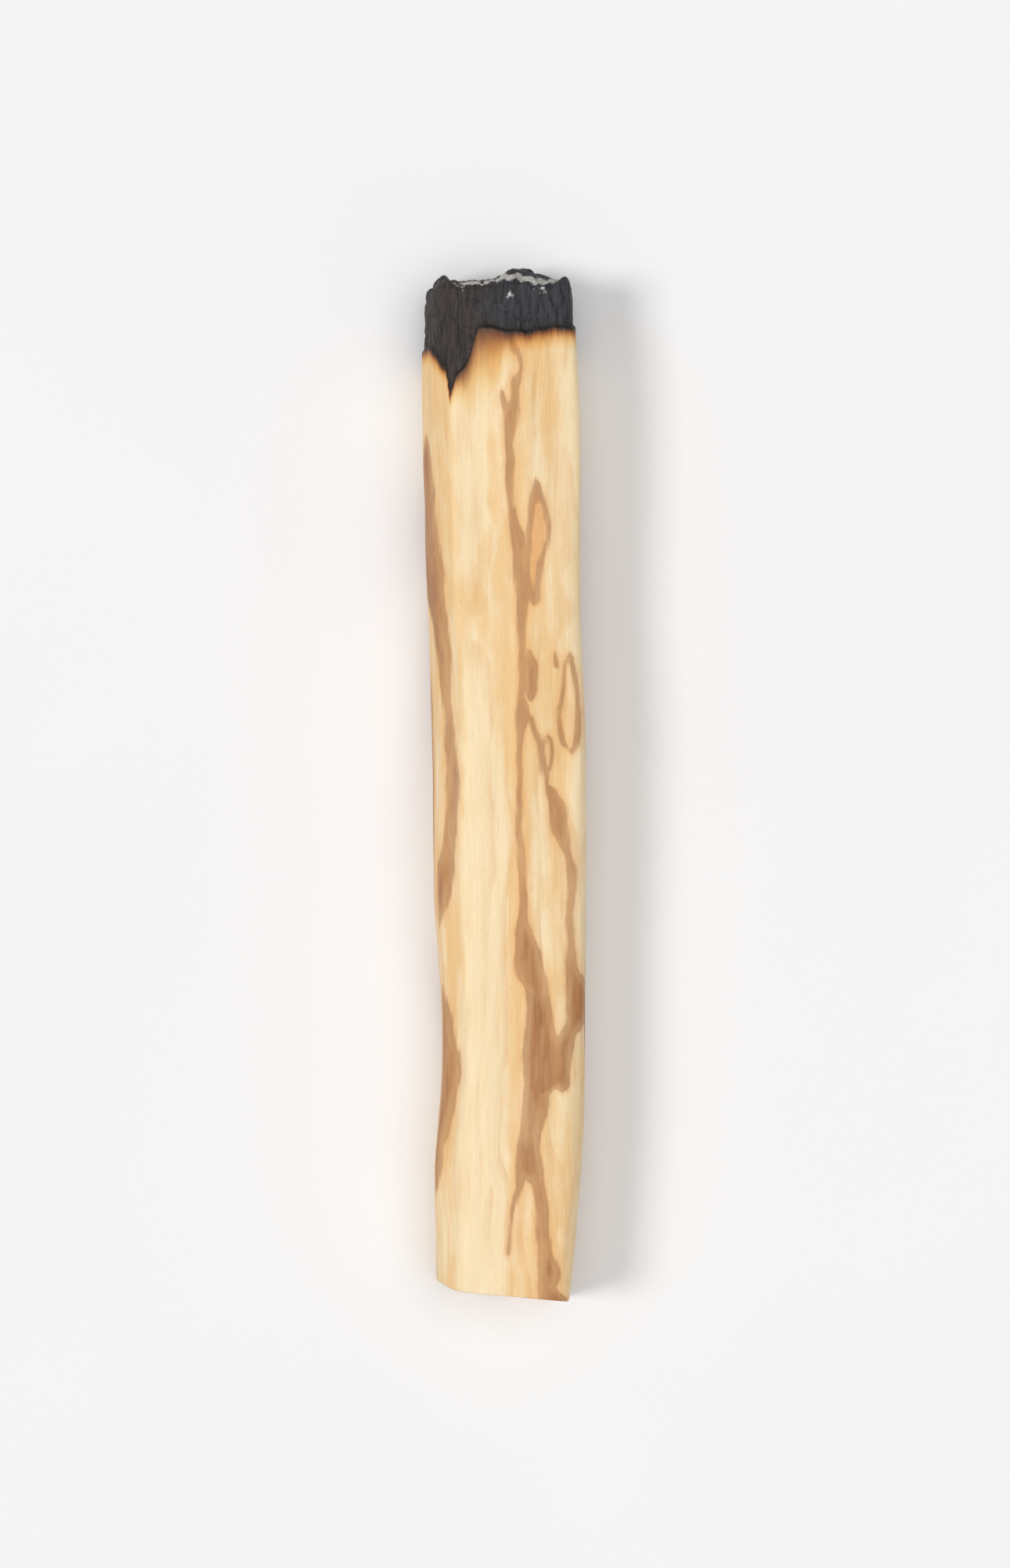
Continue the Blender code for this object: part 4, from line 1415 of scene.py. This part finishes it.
    def place_round(self, full: np.ndarray, angle: np.ndarray) -> tuple[np.ndarray, np.ndarray]:
        """Each point's place round the stick, and the whole way round.

        Over the top it is the place across as the camera sees it: the real place across, plus the
        height over the middle times a small share, as the camera stands to the left. Past the last
        column that it sees on each side, it goes on by the length along the section.

        Args:
            full: the grid's points on the full section.
            angle: their angles.

        Returns:
            The place round, from minus half the girth to half of it, and the girth of each row.
        """
        hop = np.linalg.norm(np.diff(full, axis=1, append=full[:, :1]), axis=-1)
        walked = np.cumsum(hop, axis=1) - hop
        lift = full[..., 2] - self.blank.axis_height
        seen = full[..., 0] + self.view_shift + self.view_lean * lift
        first, last = (int(np.argmin(np.abs(angle[0] - math.radians(limit)))) for limit in self.seen_angles)
        before = seen[:, [first]] + walked[:, [first]] - walked
        after = seen[:, [last]] - (walked - walked[:, [last]])
        column = np.arange(angle.shape[1])
        round_ = np.where(column < first, before, np.where(column > last, after, seen))
        unseen = hop.sum(axis=1, keepdims=True) - (walked[:, [last]] - walked[:, [first]])
        girth = unseen + seen[:, [first]] - seen[:, [last]]
        return (round_ + girth / 2) % girth - girth / 2, girth

    def paint(
        self, point: np.ndarray, full: np.ndarray, angle: np.ndarray, depth: np.ndarray, shrink: np.ndarray,
        radius: np.ndarray,
    ) -> dict[str, np.ndarray]:
        """What the finish reads from the mesh at each point.

        The figure is read at the place along as the camera sees it: a higher point, being nearer,
        seems further from the place that the camera stands over.

        Args:
            point: the grid's points.
            full: the same on the full section, before it shrinks at the ends.
            angle: their angles.
            depth: how far inside the char they are.
            shrink: how much of the full section they have.
            radius: the full section's radius there.

        Returns:
            Each value by name, of the grid's shape.
        """
        round_, girth = self.place_round(full, angle)
        lift = full[..., 2] - self.blank.axis_height
        along = point[..., 1] + (point[..., 1] - self.view_from) * lift / self.view_distance
        figure, warm = self.figure.fields(round_, along, girth, shrink, radius)
        spots = np.max([spot.cover(point) for spot in self.ash_spots], axis=0)
        return {
            "figure": figure,
            "warm": warm,
            "tone": self.figure.paleness(round_, along),
            "char": depth,
            "scorch": smooth_curve(self.burnt.scorch, turn_degrees(angle)),
            # The ash value holds the ash spots and also the painted highlight past the top rim, both in the
            # ash's colour
            "ash": np.maximum(spots, self.burnt.painted_rim_highlight(point)) * step(*self.burnt.ash_and_highlight_depth, depth),
        }

    def fitted(self, point: np.ndarray) -> np.ndarray:
        """The grid moved and stretched slightly, so that its box is exactly the node's, in metres."""
        low, high = point.min(axis=(0, 1)), point.max(axis=(0, 1))
        node_low, node_high = (np.array(corner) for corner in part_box(self.node))
        return node_low + (point - low) / (high - low) * (node_high - node_low)

    def build(self) -> bpy.types.Object:
        """Makes the mesh: the grid's rows joined by quads, and closed at each end by triangles.

        Returns:
            The stick, as one object.
        """
        point, painted = self.surface()
        point = self.fitted(point)
        rows, columns = point.shape[:2]
        index = np.arange(rows * columns).reshape(rows, columns)
        following = np.roll(index, -1, axis=1)
        quads = np.stack([index[:-1], index[1:], following[1:], following[:-1]], axis=-1).reshape(-1, 4)
        sawn_middle, burnt_middle = rows * columns, rows * columns + 1
        sawn_fan = np.stack([following[0] * 0 + sawn_middle, index[0], following[0]], axis=-1)
        burnt_fan = np.stack([following[-1] * 0 + burnt_middle, following[-1], index[-1]], axis=-1)
        middles = [point[0].mean(axis=0), point[-1].mean(axis=0)]
        mesh = bpy.data.meshes.new("stick")
        mesh.from_pydata(
            np.concatenate([point.reshape(-1, 3), middles]), [],
            quads.tolist() + sawn_fan.tolist() + burnt_fan.tolist(),
        )
        for name, value in painted.items():
            ends = [value[0].mean(), value[-1].mean()]
            values = np.concatenate([value.ravel(), ends]).astype(np.float32)
            mesh.attributes.new(name, "FLOAT", "POINT").data.foreach_set("value", values)
        mesh.shade_smooth()
        return new_object("stick", mesh)

    def dress(self, stick: bpy.types.Object, finish: bpy.types.Material) -> None:
        """Gives the stick its finish, and sets it in the frame in place of its plain solid.

        Args:
            stick: the stick.
            finish: its material.
        """
        stick.data.materials.append(finish)
        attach(stick, "root")
        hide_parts(self.node)


@dataclass
class Studio:
    """The plain pale floor, the soft light from the left, and the camera above.

    Attributes:
        eye: the camera's place over the stick, in metres.
        share: how much of the picture's height the stick fills.
        window_from: the direction of the light from the left, as (across, along, up).
        window_strength: how strong it is.
        window_softness: how wide it looks from the stick, in degrees.
        overhead_from: the direction of the broad light above.
        overhead_strength: how strong it is.
        overhead_softness: how wide it looks from the stick, in degrees.
        sky: how bright the light from all round is.
        backdrop: how bright the background looks behind the floor.
        floor_half: half the floor's width, in metres.
        floor_drop: how far under the stick it lies, in metres.
        floor_tones: the two colours that it shades between.
        floor_mottle: how many shades of them there are to a metre.
        floor_levels: the noise levels between which it turns from one to the other.
        target: the place that the camera looks at, in metres.
        clip: the nearest and furthest distance that it sees, in metres.
    """

    eye: Point = (-0.0392, -0.0071, 0.55)
    target: Point = (0.0, 0.0, 0.006)
    clip: Span = (0.01, 20.0)
    share: float = 0.66
    window_from: Point = (-0.605, -0.06, 0.795)
    window_strength: float = 1.34
    window_softness: float = 18.0
    overhead_from: Point = (0.13, 0.0, 1.0)
    overhead_strength: float = 1.3
    overhead_softness: float = 55.0
    sky: float = 0.27
    backdrop: float = 0.883
    floor_half: float = 6.0
    floor_drop: float = 0.02 * MM
    floor_tones: tuple[Colour, Colour] = ((0.885, 0.885, 0.89, 1.0), (0.9, 0.9, 0.902, 1.0))
    floor_mottle: float = 14.0
    floor_levels: Span = (0.3, 0.7)

    def floor(self) -> bpy.types.Object:
        """Makes the floor: a square far wider than any view, just under the stick."""
        half = self.floor_half
        signs = ((-1, -1), (1, -1), (1, 1), (-1, 1))
        corners = [(x * half, y * half, -self.floor_drop) for x, y in signs]
        mesh = bpy.data.meshes.new("floor")
        mesh.from_pydata(corners, [], [(0, 1, 2, 3)])
        floor = new_object("floor", mesh)
        material, nodes, shader = new_material("white table")
        place = nodes.add("TexCoord").outputs["Object"]
        mottle = nodes.rise(nodes.noise(place, self.floor_mottle, 3.0), *self.floor_levels)
        nodes.feed(shader.inputs["Base Color"], nodes.mix(mottle, *self.floor_tones))
        shader.inputs["Roughness"].default_value = 0.9
        shader.inputs["Specular IOR Level"].default_value = 0.1
        mesh.materials.append(material)
        return floor

    def lamp(self, name: str, comes_from: tuple, strength: float, softness: float) -> None:
        """Makes one far lamp.

        Args:
            name: its name.
            comes_from: the direction that its light comes from, as (across, along, up).
            strength: how strong it is.
            softness: how wide it looks from the stick, in degrees.
        """
        data = bpy.data.lights.new(name, "SUN")
        data.energy, data.angle = strength, math.radians(softness)
        lamp = new_object(name, data)
        lamp.rotation_mode = "QUATERNION"
        lamp.rotation_quaternion = Vector(comes_from).to_track_quat("Z", "Y")

    def light(self) -> None:
        """Makes the light: a window on the left, a broad soft lamp overhead, and an even sky."""
        self.lamp("window", self.window_from, self.window_strength, self.window_softness)
        self.lamp("overhead", self.overhead_from, self.overhead_strength, self.overhead_softness)
        world = bpy.data.worlds.new("sky")
        world.use_nodes = True
        nodes = Nodes(world.node_tree)
        background = world.node_tree.nodes["Background"]
        seen = nodes.add("LightPath").outputs["Is Camera Ray"]
        bright = nodes.math("MULTIPLY_ADD", seen, self.backdrop - self.sky, self.sky)
        nodes.feed(background.inputs["Strength"], bright)
        background.inputs["Color"].default_value = WHITE
        bpy.context.scene.world = world

    def camera(self, length: float) -> bpy.types.Object:
        """Makes the camera, which looks down on the stick from the photograph's place.

        Args:
            length: the stick's length in metres.

        Returns:
            The camera.
        """
        data = bpy.data.cameras.new("camera")
        camera = new_object("camera", data)
        camera.location = self.eye
        away = Vector(self.eye) - Vector(self.target)
        back = away.normalized()
        right = Vector((0.0, 1.0, 0.0)).cross(back).normalized()
        camera.rotation_mode = "QUATERNION"
        camera.rotation_quaternion = Matrix((right, back.cross(right), back)).transposed().to_quaternion()
        data.lens = data.sensor_width * away.length / (length / self.share)
        data.clip_start, data.clip_end = self.clip
        bpy.context.scene.camera = camera
        return camera

    def build(self, length: float) -> None:
        """Makes the floor, the light and the camera, and shows colours as they are.

        Args:
            length: the stick's length in metres.
        """
        self.camera(length)
        self.floor()
        self.light()
        bpy.context.scene.view_settings.view_transform = "Standard"


def main() -> None:
    """Builds the studio and the stick."""
    logging.basicConfig(level=logging.INFO, format="%(message)s")
    stick = Stick()
    Studio().build(stick.blank.length * MM)
    piece = stick.build()
    finish = BurntWoodFinish().build(LongFibres().build(), GrowthRings().build())
    stick.dress(piece, finish)
    triangles = sum(len(polygon.vertices) - 2 for polygon in piece.data.polygons)
    points = len(piece.data.vertices)
    LOG.info("%s: %d points, %d triangles, stands for %s", piece.name, points, triangles, stick.node)


if __name__ == "__main__":
    main()
